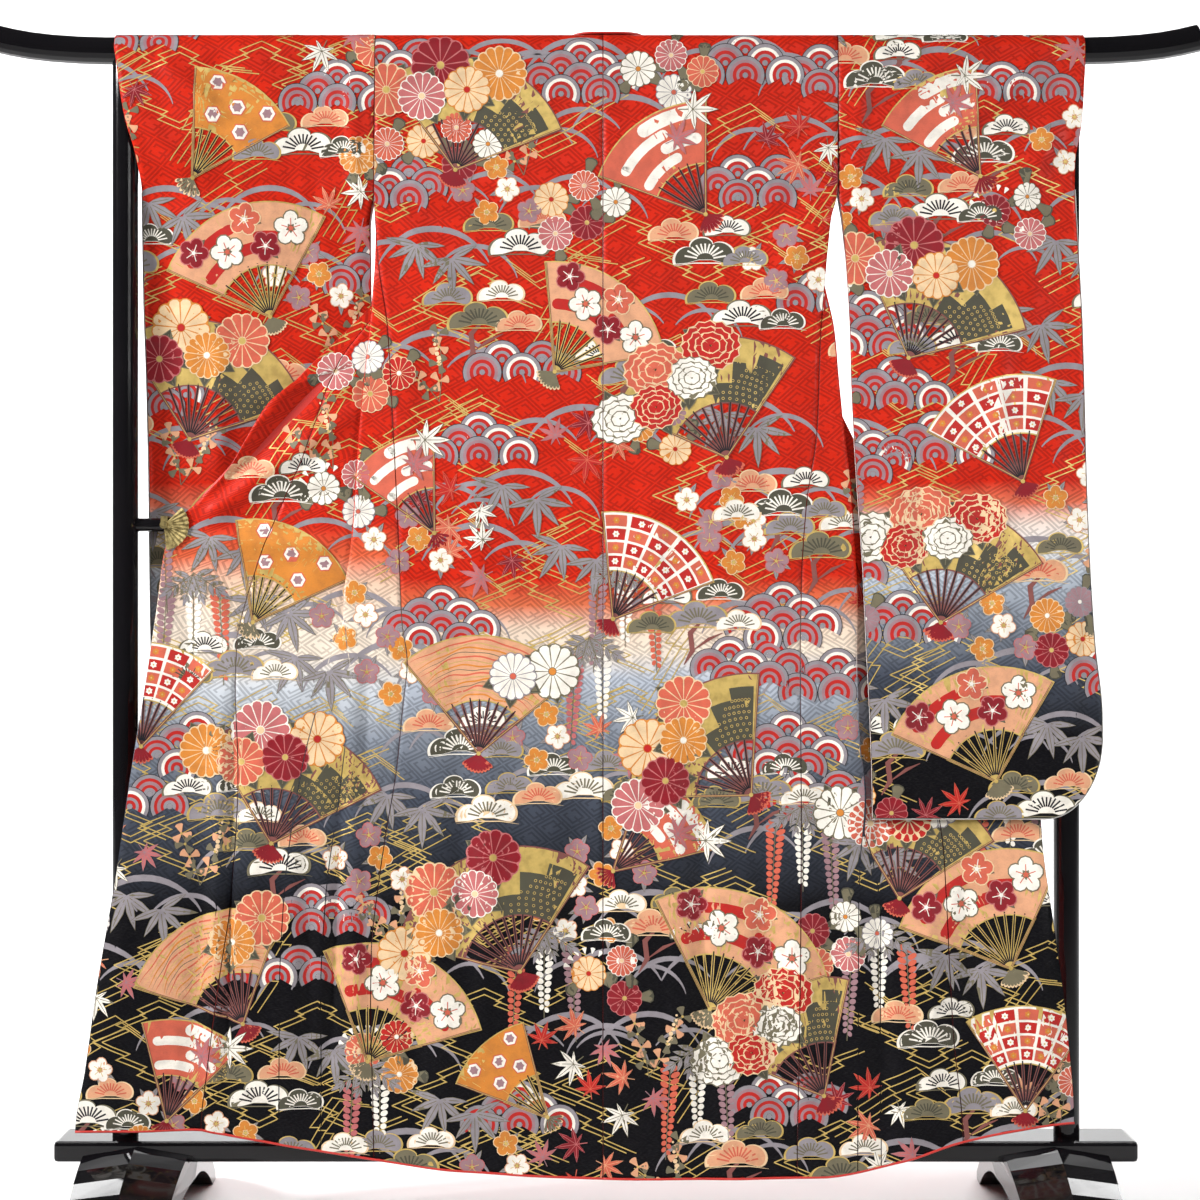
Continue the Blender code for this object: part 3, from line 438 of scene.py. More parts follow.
class Value:
    """A number that a material works out, on which plain arithmetic adds Math nodes."""

    def __init__(self, recipe: "Recipe", socket: bpy.types.NodeSocket) -> None:
        """Wraps one output socket of a recipe."""
        self.recipe = recipe
        self.socket = socket

    def math(self, operation: str, *others: "Value | float", first: bool = True) -> "Value":
        """Adds a Math node.

        Args:
            operation: The node's operation.
            others: Its other inputs.
            first: Whether this value is the first input, or the last.

        Returns:
            The node's result.
        """
        inputs = [self, *others] if first else [*others, self]
        node = self.recipe.node("ShaderNodeMath", {"operation": operation}, dict(enumerate(inputs)))
        return Value(self.recipe, node.outputs[0])

    def __add__(self, other: "Value | float") -> "Value":
        """The sum."""
        return self.math("ADD", other)

    __radd__ = __add__

    def __mul__(self, other: "Value | float") -> "Value":
        """The product."""
        return self.math("MULTIPLY", other)

    __rmul__ = __mul__

    def __sub__(self, other: "Value | float") -> "Value":
        """The difference."""
        return self.math("SUBTRACT", other)

    def __rsub__(self, other: "Value | float") -> "Value":
        """The difference, with this value taken away."""
        return self.math("SUBTRACT", other, first=False)

    def step(self, low: float, high: float) -> "Value":
        """0 below low and 1 above high, smooth between; the other way round where low is above high."""
        settings = {"interpolation_type": "SMOOTHSTEP", "clamp": True}
        inputs = {"Value": self, "From Min": low, "From Max": high, "To Min": 0.0, "To Max": 1.0}
        return Value(self.recipe, self.recipe.node("ShaderNodeMapRange", settings, inputs).outputs["Result"])


class Recipe:
    """A material under way: its nodes and its one Principled shader."""

    def __init__(self, name: str, **fixed: float) -> None:
        """Starts a material.

        Args:
            name: The material's name.
            fixed: Values that are the same all over it, by socket name with underscores for spaces.
        """
        self.material = bpy.data.materials.new(name)
        self.material.use_nodes = True
        self.tree = self.material.node_tree
        self.shader = self.tree.nodes["Principled BSDF"]
        for socket, value in fixed.items():
            self.shader.inputs[socket.replace("_", " ")].default_value = value

    def node(self, kind: str, settings: dict | None = None, inputs: dict | None = None) -> bpy.types.Node:
        """Adds one node.

        Args:
            kind: Its type.
            settings: Its properties, which are set first; a ramp's stops are a list under "stops".
            inputs: Values or links of its sockets, by name or number.

        Returns:
            The node.
        """
        made = self.tree.nodes.new(kind)
        for name, value in (settings or {}).items():
            if name == "stops":
                self._set_stops(made.color_ramp, value)
            else:
                setattr(made, name, value)
        for name, value in (inputs or {}).items():
            self.feed(made.inputs[name], value)
        return made

    @staticmethod
    def _set_stops(ramp: bpy.types.ColorRamp, stops: Sequence[tuple[float, Colour]]) -> None:
        """Gives a colour ramp its stops."""
        while len(ramp.elements) < len(stops):
            ramp.elements.new(0.5)
        for element, (place, colour) in zip(ramp.elements, stops):
            element.position = place
            element.color = (*colour, 1)

    def feed(self, socket: bpy.types.NodeSocket, value: object) -> None:
        """Links a socket to a Value or an output, or sets it to a plain number or colour."""
        if isinstance(value, Value):
            value = value.socket
        if isinstance(value, bpy.types.NodeSocket):
            self.tree.links.new(value, socket)
        elif isinstance(value, tuple) and len(value) == 3 and socket.type == "RGBA":
            socket.default_value = (*value, 1)
        else:
            socket.default_value = value

    def value(self, kind: str, output: str, settings: dict | None = None, inputs: dict | None = None) -> Value:
        """One named output of a new node, as a Value."""
        return Value(self, self.node(kind, settings, inputs).outputs[output])

    def place(self) -> tuple[bpy.types.NodeSocket, Value, Value]:
        """The place on the piece in metres, as one vector and as its X and Z."""
        vector = self.node("ShaderNodeTexCoord").outputs["Object"]
        parts = self.node("ShaderNodeSeparateXYZ", None, {"Vector": vector})
        return vector, Value(self, parts.outputs["X"]), Value(self, parts.outputs["Z"])

    def noise(self, vector: bpy.types.NodeSocket, scale: float, detail: float = 2.0) -> Value:
        """Soft noise from 0 to 1, with scale cells to the metre."""
        return self.value("ShaderNodeTexNoise", "Fac", None, {"Vector": vector, "Scale": scale, "Detail": detail})

    def stretched(self, vector: bpy.types.NodeSocket, scale: Colour) -> bpy.types.NodeSocket:
        """A vector scaled along its three axes."""
        return self.node("ShaderNodeMapping", {"vector_type": "POINT"}, {"Vector": vector, "Scale": scale}).outputs[0]

    def blend(self, share: Value, a: object, b: object, kind: str = "MIX") -> bpy.types.NodeSocket:
        """A colour between two colours, with the given share of the second."""
        made = self.node("ShaderNodeMix", {"data_type": "RGBA", "blend_type": kind}, {"Factor": share})
        self.feed(made.inputs["A"] if kind == "" else made.inputs[6], a)
        self.feed(made.inputs[7], b)
        return made.outputs[2]

    def paint(
        self, colour: object = None, roughness: object = None, height: object = None, depth: float = 0.0,
        drape: float = 0.0,
    ) -> None:
        """Feeds the shader.

        Args:
            colour: What the base colour follows.
            roughness: What the roughness follows.
            height: Relief from 0 to 1.
            depth: How deep that relief is, in metres.
            drape: How deep the cloth's small soft folds are, in metres.
        """
        if colour is not None:
            self.feed(self.shader.inputs["Base Color"], colour)
        if roughness is not None:
            self.feed(self.shader.inputs["Roughness"], roughness)
        if height is not None:
            inputs = {"Height": height, "Strength": 1.0, "Distance": depth}
            if drape:
                inputs["Normal"] = self._drape(drape)
            self.feed(self.shader.inputs["Normal"], self.node("ShaderNodeBump", None, inputs).outputs["Normal"])

    def _drape(self, depth: float) -> bpy.types.NodeSocket:
        """The normal of small soft folds that run down the cloth, the same on every piece."""
        vector = self.place()[0]
        long = self.noise(self.stretched(vector, (13, 2, 2.6)), 1.0, 1.0)
        slant = self.node("ShaderNodeMapping", None, {"Vector": vector, "Rotation": (0, 0.7, 0), "Scale": (5, 2, 17)})
        short = self.noise(slant.outputs[0], 1.0, 1.0)
        inputs = {"Height": long * 0.65 + short * 0.35, "Strength": 1.0, "Distance": depth}
        return self.node("ShaderNodeBump", None, inputs).outputs["Normal"]


DRAPE = 15 * MM
VERMILION = (0.57, 0.019, 0.006)
DEEP_RED = (0.42, 0.018, 0.012)
CREAM = (0.80, 0.68, 0.56)
WHITE_SILK = (0.78, 0.76, 0.74)
GREY_BLUE = (0.235, 0.262, 0.31)
SLATE = (0.06, 0.07, 0.095)
INK = (0.004, 0.0038, 0.0055)
RAMP_TOP = 2.0


@dataclass(frozen=True)
class SilkGround:
    """Figured satin silk, dyed from ink at the hem to vermilion at the shoulders.

    The stops are heights in metres with the colour there. The figure is a plain key fret. Within 1.6 mm of a sewn edge
    the colour is darkened to paint the shade of the seam's fold line.
    """

    name: str
    stops: tuple[tuple[float, Colour], ...]
    fret_cell: float = 29 * MM
    figure: float = 0.34

    def make(self) -> bpy.types.Material:
        """Makes the material.

        Returns:
            The material.
        """
        recipe = Recipe(self.name, Specular_IOR_Level=0.08)
        vector, x, z = recipe.place()
        drift = recipe.noise(recipe.stretched(vector, (1, 0.1, 1)), 5.0) - 0.5
        height = (z + drift * 0.035) * (1 / RAMP_TOP)
        ramp = recipe.node("ShaderNodeValToRGB", {"stops": [(at / RAMP_TOP, c) for at, c in self.stops]}, {0: height})
        fret = self._fret(recipe)
        grain = recipe.noise(recipe.stretched(vector, (220, 220, 2600)), 1.0, 1.0)
        patches = recipe.noise(vector, 9.0)
        seam = recipe.value("ShaderNodeAttribute", "Fac", {"attribute_name": "seam"})
        lit = recipe.blend(fret * self.figure, ramp.outputs["Color"], (0.0, 0.0, 0.0))
        lit = recipe.blend(patches.step(0.35, 0.7) * 0.10, lit, (0.0, 0.0, 0.0))
        lit = recipe.blend(grain.step(0.45, 0.8) * 0.012, lit, (1.0, 0.95, 0.9))
        # Painted shade: near black within 1.6 mm of a sewn edge, where the seam's fold line falls in shade
        lit = recipe.blend(seam.step(1.6 * MM, 0.3 * MM) * 0.75, lit, (0.03, 0.004, 0.004))
        recipe.paint(lit, 0.34 + fret * 0.16 + grain * 0.05, fret * 0.75 + grain * 0.25, 0.12 * MM, DRAPE)
        return recipe.material

    def _fret(self, recipe: Recipe) -> Value:
        """A plain key fret on the cloth's own flat coordinates: nested squares, open on alternate sides."""
        cloth = recipe.node("ShaderNodeUVMap", {"uv_map": "cloth"}).outputs[0]
        turned = recipe.node(
            "ShaderNodeMapping",
            {"vector_type": "POINT"},
            {"Vector": cloth, "Rotation": (0.0, 0.0, math.radians(38)), "Scale": (0.72 / self.fret_cell, 1 / self.fret_cell, 1.0)},
        ).outputs[0]
        parts = recipe.node("ShaderNodeSeparateXYZ", None, {"Vector": turned})
        p, q = (Value(recipe, parts.outputs[i]) for i in (0, 1))
        odd = (p.math("FLOOR") + q.math("FLOOR")).math("PINGPONG", 1.0)
        p, q = p.math("FRACT") - 0.5, q.math("FRACT") - 0.5
        reach = p.math("ABSOLUTE").math("MAXIMUM", q.math("ABSOLUTE"))
        outer = (reach - 0.43).math("ABSOLUTE").step(0.055, 0.03)
        inner = (reach - 0.25).math("ABSOLUTE").step(0.055, 0.03)
        along = odd * p + (1 - odd) * q
        aside = odd * q + (1 - odd) * p
        door = along.step(0.05, 0.1) * aside.math("ABSOLUTE").step(0.09, 0.07)
        bar = aside.math("ABSOLUTE").step(0.05, 0.03) * along.step(-0.02, -0.06)
        return (outer + inner * (1 - door)).math("MAXIMUM", bar).math("MINIMUM", 1.0)


@dataclass(frozen=True)
class LiningSilk:
    """Plain silk lining: white in the upper body and sleeves, vermilion round the hem."""

    name: str
    red_below: float = 0.0

    def make(self) -> bpy.types.Material:
        """Makes the material.

        Returns:
            The material.
        """
        recipe = Recipe(self.name, Sheen_Weight=0.1, Sheen_Roughness=0.4)
        vector, x, z = recipe.place()
        weave = recipe.noise(recipe.stretched(vector, (1400, 1400, 260)), 1.0, 1.0)
        seam = (z - self.red_below).math("ABSOLUTE").step(2.2 * MM, 0.6 * MM)
        colour = recipe.blend(z.step(self.red_below + 1 * MM, self.red_below - 1 * MM), (0.74, 0.72, 0.69), (0.55, 0.03, 0.02))
        colour = recipe.blend(seam * 0.6, colour, (0.12, 0.05, 0.05))
        colour = recipe.blend(weave.step(0.3, 0.8) * 0.14, colour, (0.25, 0.2, 0.18))
        recipe.paint(colour, 0.42 + weave * 0.18, weave, 0.06 * MM)
        return recipe.material


@dataclass(frozen=True)
class PlainSilk:
    """Silk of one colour, such as the hem's roll."""

    name: str
    colour: Colour
    shade: Colour

    def make(self) -> bpy.types.Material:
        """Makes the material.

        Returns:
            The material.
        """
        recipe = Recipe(self.name, Sheen_Weight=0.15, Sheen_Roughness=0.4)
        vector, x, z = recipe.place()
        weave = recipe.noise(recipe.stretched(vector, (900, 900, 900)), 1.0, 1.0)
        colour = recipe.blend(weave.step(0.3, 0.75) * 0.5, self.colour, self.shade)
        recipe.paint(colour, 0.40 + weave * 0.15, weave, 0.05 * MM)
        return recipe.material


@dataclass(frozen=True)
class Lacquer:
    """Polished black lacquer with the faint waviness of a hand-rubbed coat."""

    name: str = "lacquer_polished"

    def make(self) -> bpy.types.Material:
        """Makes the material.

        Returns:
            The material.
        """
        recipe = Recipe(self.name, Coat_Weight=0.12, Coat_Roughness=0.04, Specular_IOR_Level=0.3)
        vector, x, z = recipe.place()
        waves = recipe.noise(vector, 14.0)
        dust = recipe.noise(vector, 420.0, 3.0)
        colour = recipe.blend(waves, (0.0035, 0.0035, 0.0045), (0.007, 0.006, 0.007))
        recipe.paint(colour, 0.07 + dust.step(0.55, 0.85) * 0.08 + waves * 0.03, waves, 0.15 * MM)
        return recipe.material


@dataclass(frozen=True)
class AgedBrass:
    """Brass dulled in patches, with fine scratches."""

    name: str = "brass_aged"

    def make(self) -> bpy.types.Material:
        """Makes the material.

        Returns:
            The material.
        """
        recipe = Recipe(self.name, Metallic=1.0)
        vector, x, z = recipe.place()
        tarnish = recipe.noise(vector, 160.0, 4.0)
        scratches = recipe.noise(recipe.stretched(vector, (3000, 400, 900)), 1.0, 2.0)
        colour = recipe.blend(tarnish.step(0.4, 0.68), (0.60, 0.47, 0.20), (0.20, 0.15, 0.06))
        recipe.paint(colour, 0.26 + tarnish * 0.2 + scratches * 0.1, scratches, 0.05 * MM)
        return recipe.material


BODY_STOPS = (
    (0.0, INK), (0.47, INK), (0.63, SLATE), (0.735, GREY_BLUE), (0.80, (0.46, 0.50, 0.57)), (0.835, CREAM),
    (0.868, (0.80, 0.62, 0.48)), (0.905, (0.66, 0.16, 0.07)), (0.945, VERMILION), (2.0, VERMILION),
)
LEFT_FRONT_STOPS = (
    (0.0, INK), (0.47, INK), (0.61, SLATE), (0.715, GREY_BLUE), (0.785, (0.55, 0.58, 0.62)), (0.835, CREAM),
    (0.885, CREAM), (0.935, (0.80, 0.55, 0.40)), (0.975, (0.66, 0.12, 0.05)), (1.02, VERMILION), (2.0, VERMILION),
)
SLEEVE_STOPS = (
    (0.0, INK), (0.72, INK), (0.81, SLATE), (0.885, GREY_BLUE), (0.945, (0.48, 0.53, 0.60)), (0.985, WHITE_SILK),
    (1.025, (0.80, 0.66, 0.58)), (1.055, (0.68, 0.15, 0.08)), (1.085, VERMILION), (2.0, VERMILION),
)


@dataclass
class Wardrobe:
    """Every finish of the cloth and the stand, made once."""

    body: bpy.types.Material = field(init=False)
    left_front: bpy.types.Material = field(init=False)
    sleeve: bpy.types.Material = field(init=False)
    lining: bpy.types.Material = field(init=False)
    sleeve_lining: bpy.types.Material = field(init=False)
    roll: bpy.types.Material = field(init=False)
    lacquer: bpy.types.Material = field(init=False)
    brass: bpy.types.Material = field(init=False)

    def __post_init__(self) -> None:
        """Makes the finishes."""
        self.body = SilkGround("silk_body", BODY_STOPS).make()
        self.left_front = SilkGround("silk_left_front", LEFT_FRONT_STOPS).make()
        self.sleeve = SilkGround("silk_sleeve", SLEEVE_STOPS).make()
        self.lining = LiningSilk("silk_lining", 0.76).make()
        self.sleeve_lining = LiningSilk("silk_sleeve_lining").make()
        self.roll = PlainSilk("silk_roll", (0.58, 0.03, 0.02), (0.36, 0.014, 0.012)).make()
        self.lacquer = Lacquer().make()
        self.brass = AgedBrass().make()


@dataclass
class ClothPanel:
    """One panel of cloth: a grid of points with flat coordinates, thickened and lined.

    The grid's rows run from the top down. Its printed face is the one that the grid's normals leave.
    """

    name: str
    grid: np.ndarray
    ground: bpy.types.Material
    lining: bpy.types.Material
    edge: bpy.types.Material
    slot: str
    flipped: bool = False
    # Which side edges are sewn; the ground silk paints seam shade along those
    seams: tuple[bool, bool] = (True, True)
    extra_points: np.ndarray | None = None
    extra_faces: list[tuple[int, ...]] = field(default_factory=list)
    thickness: float = SHELL

    def build(self) -> bpy.types.Object:
        """Builds the panel.

        Returns:
            Its object, which stands for the CAD node of the same name.
        """
        rows, columns = self.grid.shape[:2]
        points = self.grid.reshape(-1, 3)
        faces = grid_faces(rows, columns, flipped=self.flipped)
        if self.extra_points is not None:
            points = np.concatenate([points, self.extra_points])
            faces = faces + self.extra_faces
        piece = mesh_piece(self.name, points, faces)
        self._add_flat_coordinates(piece.data, rows, columns)
        for material in (self.ground, self.lining, self.edge):
            piece.data.materials.append(material)
        solid = piece.modifiers.new("thickness", "SOLIDIFY")
        solid.thickness = self.thickness
        solid.offset = 0
        solid.material_offset = 1
        solid.material_offset_rim = 2
        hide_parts(self.name.removesuffix("_cloth"))
        return piece

    def _add_flat_coordinates(self, mesh: bpy.types.Mesh, rows: int, columns: int) -> None:
        """Gives each corner its place on the flat cloth and its distance from a sewn edge, along which the ground silk
        paints seam shade.
        """
        down = np.linalg.norm(np.diff(self.grid, axis=0), axis=2).mean(axis=1)
        across = np.linalg.norm(np.diff(self.grid, axis=1), axis=2)
        along = np.concatenate([np.zeros((rows, 1)), np.cumsum(across, axis=1)], axis=1)
        depth = np.concatenate([[0.0], np.cumsum(down)])
        flat = np.stack([along + self.grid[:, :1, 0], np.repeat(-depth[:, None], columns, axis=1)], axis=2)
        left = along if self.seams[0] else np.full_like(along, 1.0)
        right = along[:, -1:] - along if self.seams[1] else np.full_like(along, 1.0)
        distance = np.minimum(left, right).reshape(-1)
        flat = flat.reshape(-1, 2)
        spare = len(mesh.vertices) - len(flat)
        if spare:
            flat = np.concatenate([flat, np.repeat(flat[-1:], spare, axis=0)])
            distance = np.concatenate([distance, np.ones(spare)])
        corners = np.zeros(len(mesh.loops), int)
        mesh.loops.foreach_get("vertex_index", corners)
        layer = mesh.uv_layers.new(name="cloth")
        layer.data.foreach_set("uv", flat[corners].astype(np.float32).ravel())
        attribute = mesh.attributes.new("seam", "FLOAT", "POINT")
        attribute.data.foreach_set("value", distance.astype(np.float32))


@dataclass
class Back:
    """The back halves of the two body lengths, which meet down the centre back."""

    wardrobe: Wardrobe
    columns: int = 40
    crest_steps: int = 9
    pieces: dict[str, bpy.types.Object] = field(default_factory=dict)
    grids: dict[str, np.ndarray] = field(default_factory=dict)

    def grid(self, side: str) -> np.ndarray:
        """Works out one half's points.

        Args:
            side: "left" or "right".

        Returns:
            Rows of points from the shoulder line to the hem, from the centre back out.
        """
        way = way_of(side)
        across = np.linspace(0, 1, self.columns)
        hem_side = float(side_x(side, 0))
        hem = hem_height(mix(CENTRE_BACK, hem_side, across))
        shares = np.linspace(0, 1, round(1.62 / GRID))[:, None]
        z = mix(RAIL_HEIGHT, hem, shares)
        edge = side_x(side, z) - way * SEAM_GAP / 2
        x = mix(CENTRE_BACK + way * SEAM_GAP / 2, edge, across)
        y = lean_depth(z) - fold_rise(x, z, FOLDS) - crease_rise(x, z, BODY_CREASES)
        rows = np.stack([x, y, z], axis=2)
        turns = np.linspace(math.pi / 2 - 0.01, 0, self.crest_steps)[:-1, None]
        first = rows[0]
        top = np.stack(
            [
                np.repeat(first[None, :, 0], len(turns), axis=0),
                first[None, :, 1] * np.cos(turns),
                RAIL_HEIGHT - first[None, :, 1] * np.sin(turns),
            ],
            axis=2,
        )
        return np.concatenate([top, rows])

    def build(self) -> None:
        """Builds both halves."""
        for side in ("left", "right"):
            self.grids[side] = self.grid(side)
            panel = ClothPanel(
                f"back_{side}_cloth", self.grids[side], self.wardrobe.body, self.wardrobe.lining, self.wardrobe.roll,
                "vermilion_silk", flipped=side == "right",
            )
            self.pieces[side] = panel.build()


@dataclass
class Front:
    """One front and its overlap panel: out to a fold, back behind, and out again to the front edge."""

    wardrobe: Wardrobe
    side: str
    strip_columns: int = 13
    middle_columns: int = 22
    rear_columns: int = 22
    okumi_columns: int = 20
    pieces: dict[str, bpy.types.Object] = field(default_factory=dict)
    grids: dict[str, np.ndarray] = field(default_factory=dict)

    def layer_depth(self, layer: str, z: float) -> float:
        """Y of one layer: side (at the seam), middle (turned back) or rear (turned out again)."""
        layers = FRONT_LAYERS[self.side]
        if z >= layers["height"][-1]:
            return float(smooth_at(layers, layer, z))
        steps = {"side": 0, "middle": 1, "rear": 2}[layer]
        return float(lean_depth(z)) + steps * FOLD_STEP * float(ease(*FOLD_OPENS[self.side], z))

    def sections(self, height: float) -> tuple[list[np.ndarray], float, float, float]:
        """Stops of one row, section by section.

        Args:
            height: The row's height at the side seam.

        Returns:
            (x, y) stops of the strip, the middle layer, the rear layer and the overlap panel; then the turn's
            and the edge's x, and how far the edge hangs below the turn.
        """
        side, way = self.side, way_of(self.side)
        fold, turn, seam, edge, drop = (
            float(smooth_at(FRONT_ROWS[side], name, height)) for name in ("fold", "turn", "seam", "edge", "drop")
        )
        depth = {layer: self.layer_depth(layer, height) for layer in ("side", "middle", "rear")}
        start = float(side_x(side, height))
        start += (fold - start) / math.hypot(fold - start, 4 * MM) * SEAM_GAP / 2
        opened = 1 - float(ease(*FOLD_OPENS[side], height))
        bend = mix(TURN, 3 * TURN, opened)
        at_fold = mix(depth["side"], depth["middle"], 0.5)
        lapel = float(ease(*LAPEL_ENDS, height))
        at_turn = mix(mix(depth["middle"], depth["rear"], 0.5), depth["middle"], lapel)
        strip = abs(fold - start)
        before = 1 - min(0.5, bend / max(strip, bend))
        short = 1 - min(strip / OPEN_RUN, 1) ** 2
        strip_stops = [
            (mix(start, fold, share), mix(depth["side"], at_fold, share * (short if share < 1 else 1)))
            for share in (0, before / 2, before, 1)
        ]
        straight = 1 - min(abs(turn - fold) / OPEN_RUN, 1) ** 2
        ends = min(1 / 3, bend / max(abs(turn - fold), bend))
        middle_stops = [strip_stops[-1]]
        middle_stops += [
            (mix(fold, turn, share), mix(depth["middle"], mix(at_fold, at_turn, share), straight))
            for share in (ends, 0.5, 1 - ends)
        ]
        middle_stops.append((turn, at_turn))
        width = math.hypot(edge - turn, depth["rear"] - depth["middle"])
        curl = mix(bend, width, lapel)
        seam_share = (seam - turn) / (edge - turn) if abs(edge - turn) > 1 * MM else 1.0
        first = min(bend / width, seam_share / 3)

        def on_rear(share: float, aside: float = 0.0) -> tuple[float, float]:
            """A place on the rear layer, the given share of the way from the turn to the edge."""
            rear = self.layer_depth("rear", height - drop * share)
            return mix(turn, edge, share) + aside, mix(at_turn, rear, min(share * width / curl, 1))

        gap = way * SEAM_GAP / 2
        shares = (first, mix(first, seam_share, 0.35), mix(first, seam_share, 0.7))
        rear_stops = [middle_stops[-1], *(on_rear(share) for share in shares), on_rear(seam_share, -gap)]
        okumi_stops = [on_rear(mix(seam_share, 1, c / 5), gap * (1 - c / 5)) for c in range(6)]
        stops = [np.array(part) for part in (strip_stops, middle_stops, rear_stops, okumi_stops)]
        return stops, turn, edge, drop

    @staticmethod
    def _resample(stops: np.ndarray, count: int) -> np.ndarray:
        """Even steps along a line of stops."""
        lengths = np.concatenate([[0], np.cumsum(np.hypot(*np.diff(stops, axis=0).T))])
        at = np.linspace(0, lengths[-1], count)
        return np.stack([np.interp(at, lengths, stops[:, i]) for i in (0, 1)], axis=1)

    def row(self, height: float, share: float) -> tuple[np.ndarray, np.ndarray]:
        """Points of the front and the overlap panel in one row.

        Args:
            height: The row's height at the side seam.
            share: How far down to the hem it lies.

        Returns:
            The front's points and the overlap panel's points.
        """
        stops, turn, edge, drop = self.sections(height)
        counts = (self.strip_columns, self.middle_columns, self.rear_columns, self.okumi_columns)
        parts = [self._resample(line, count) for line, count in zip(stops, counts)]
        front = np.concatenate([parts[0], parts[1][1:], parts[2][1:]])
        for _ in range(2):
            front[1:-1] = (front[:-2] + 2 * front[1:-1] + front[2:]) / 4
        line = np.concatenate([front, parts[3]])
        x, y = line.T
        column = np.arange(len(line))
        fold_column = self.strip_columns - 1
        after_turn = column >= fold_column + self.middle_columns - 1
        opened = 1 - float(ease(*FOLD_OPENS[self.side], height))
        fall = np.where(after_turn, max(drop, 0.0) * np.clip((x - turn) / (edge - turn), 0, 1), 0.0)
        hem_level = float(hem_height(side_x(self.side, 0)))
        z = height - fall + (hem_height(x) - hem_level) * share**6
        on_strip = np.clip(1 - column / fold_column, 0, 1) ** 0.5
        sewn = float(ease(SEAM_TOP[self.side] + 20 * MM, SEAM_TOP[self.side] - 20 * MM, height))
        rises = opened + (1 - opened) * on_strip * sewn
        y = y - (fold_rise(x, z, FOLDS) + crease_rise(x, z, BODY_CREASES)) * rises
        own = LEFT_FRONT_CREASES if self.side == "left" else RIGHT_FRONT_CREASES
        past = np.clip((column - fold_column - self.middle_columns) / 8, 0, 1)
        loose = ease(*CLIP_HOLD, np.hypot(x - CLIP_X, z - CLIP_Z))
        y = y - crease_rise(x, z, own) * past * loose * (1 - opened) * (1 if height < 1.3 else 0)
        points = np.stack([x, y, z], axis=1)
        return points[: len(front)], points[len(front):]

    def build(self) -> None:
        """Builds the front and its overlap panel."""
        hem = float(hem_height(side_x(self.side, 0)))
        shares = np.linspace(0, 1, round(1.62 / GRID))
        rows = [self.row(mix(RAIL_HEIGHT, hem, share), share) for share in shares]
        front = np.array([row[0] for row in rows])
        okumi = np.array([row[1] for row in rows if row[0][0, 2] < OKUMI_TIP[self.side]])
        turns = np.linspace(math.pi / 2 - 0.01, 0, 9)[:-1, None]
        top_x = np.repeat(front[:1, :, 0], len(turns), axis=0)
        crest = np.stack(
            [top_x, HANG * np.cos(turns) + 0 * top_x, RAIL_HEIGHT + HANG * np.sin(turns) + 0 * top_x], axis=2
        )
        front = np.concatenate([crest, front])
        left = self.side == "left"
        ground = self.wardrobe.left_front if left else self.wardrobe.body
        for name, grid, slot in (("front", front, "vermilion_silk_front"), ("okumi", okumi, "navy_silk")):
            panel = ClothPanel(
                f"{name}_{self.side}_cloth", grid, ground, self.wardrobe.lining, self.wardrobe.roll, slot,
                flipped=not left, seams=(True, name == "front"),
            )
            self.grids[name] = grid
            self.pieces[name] = panel.build()


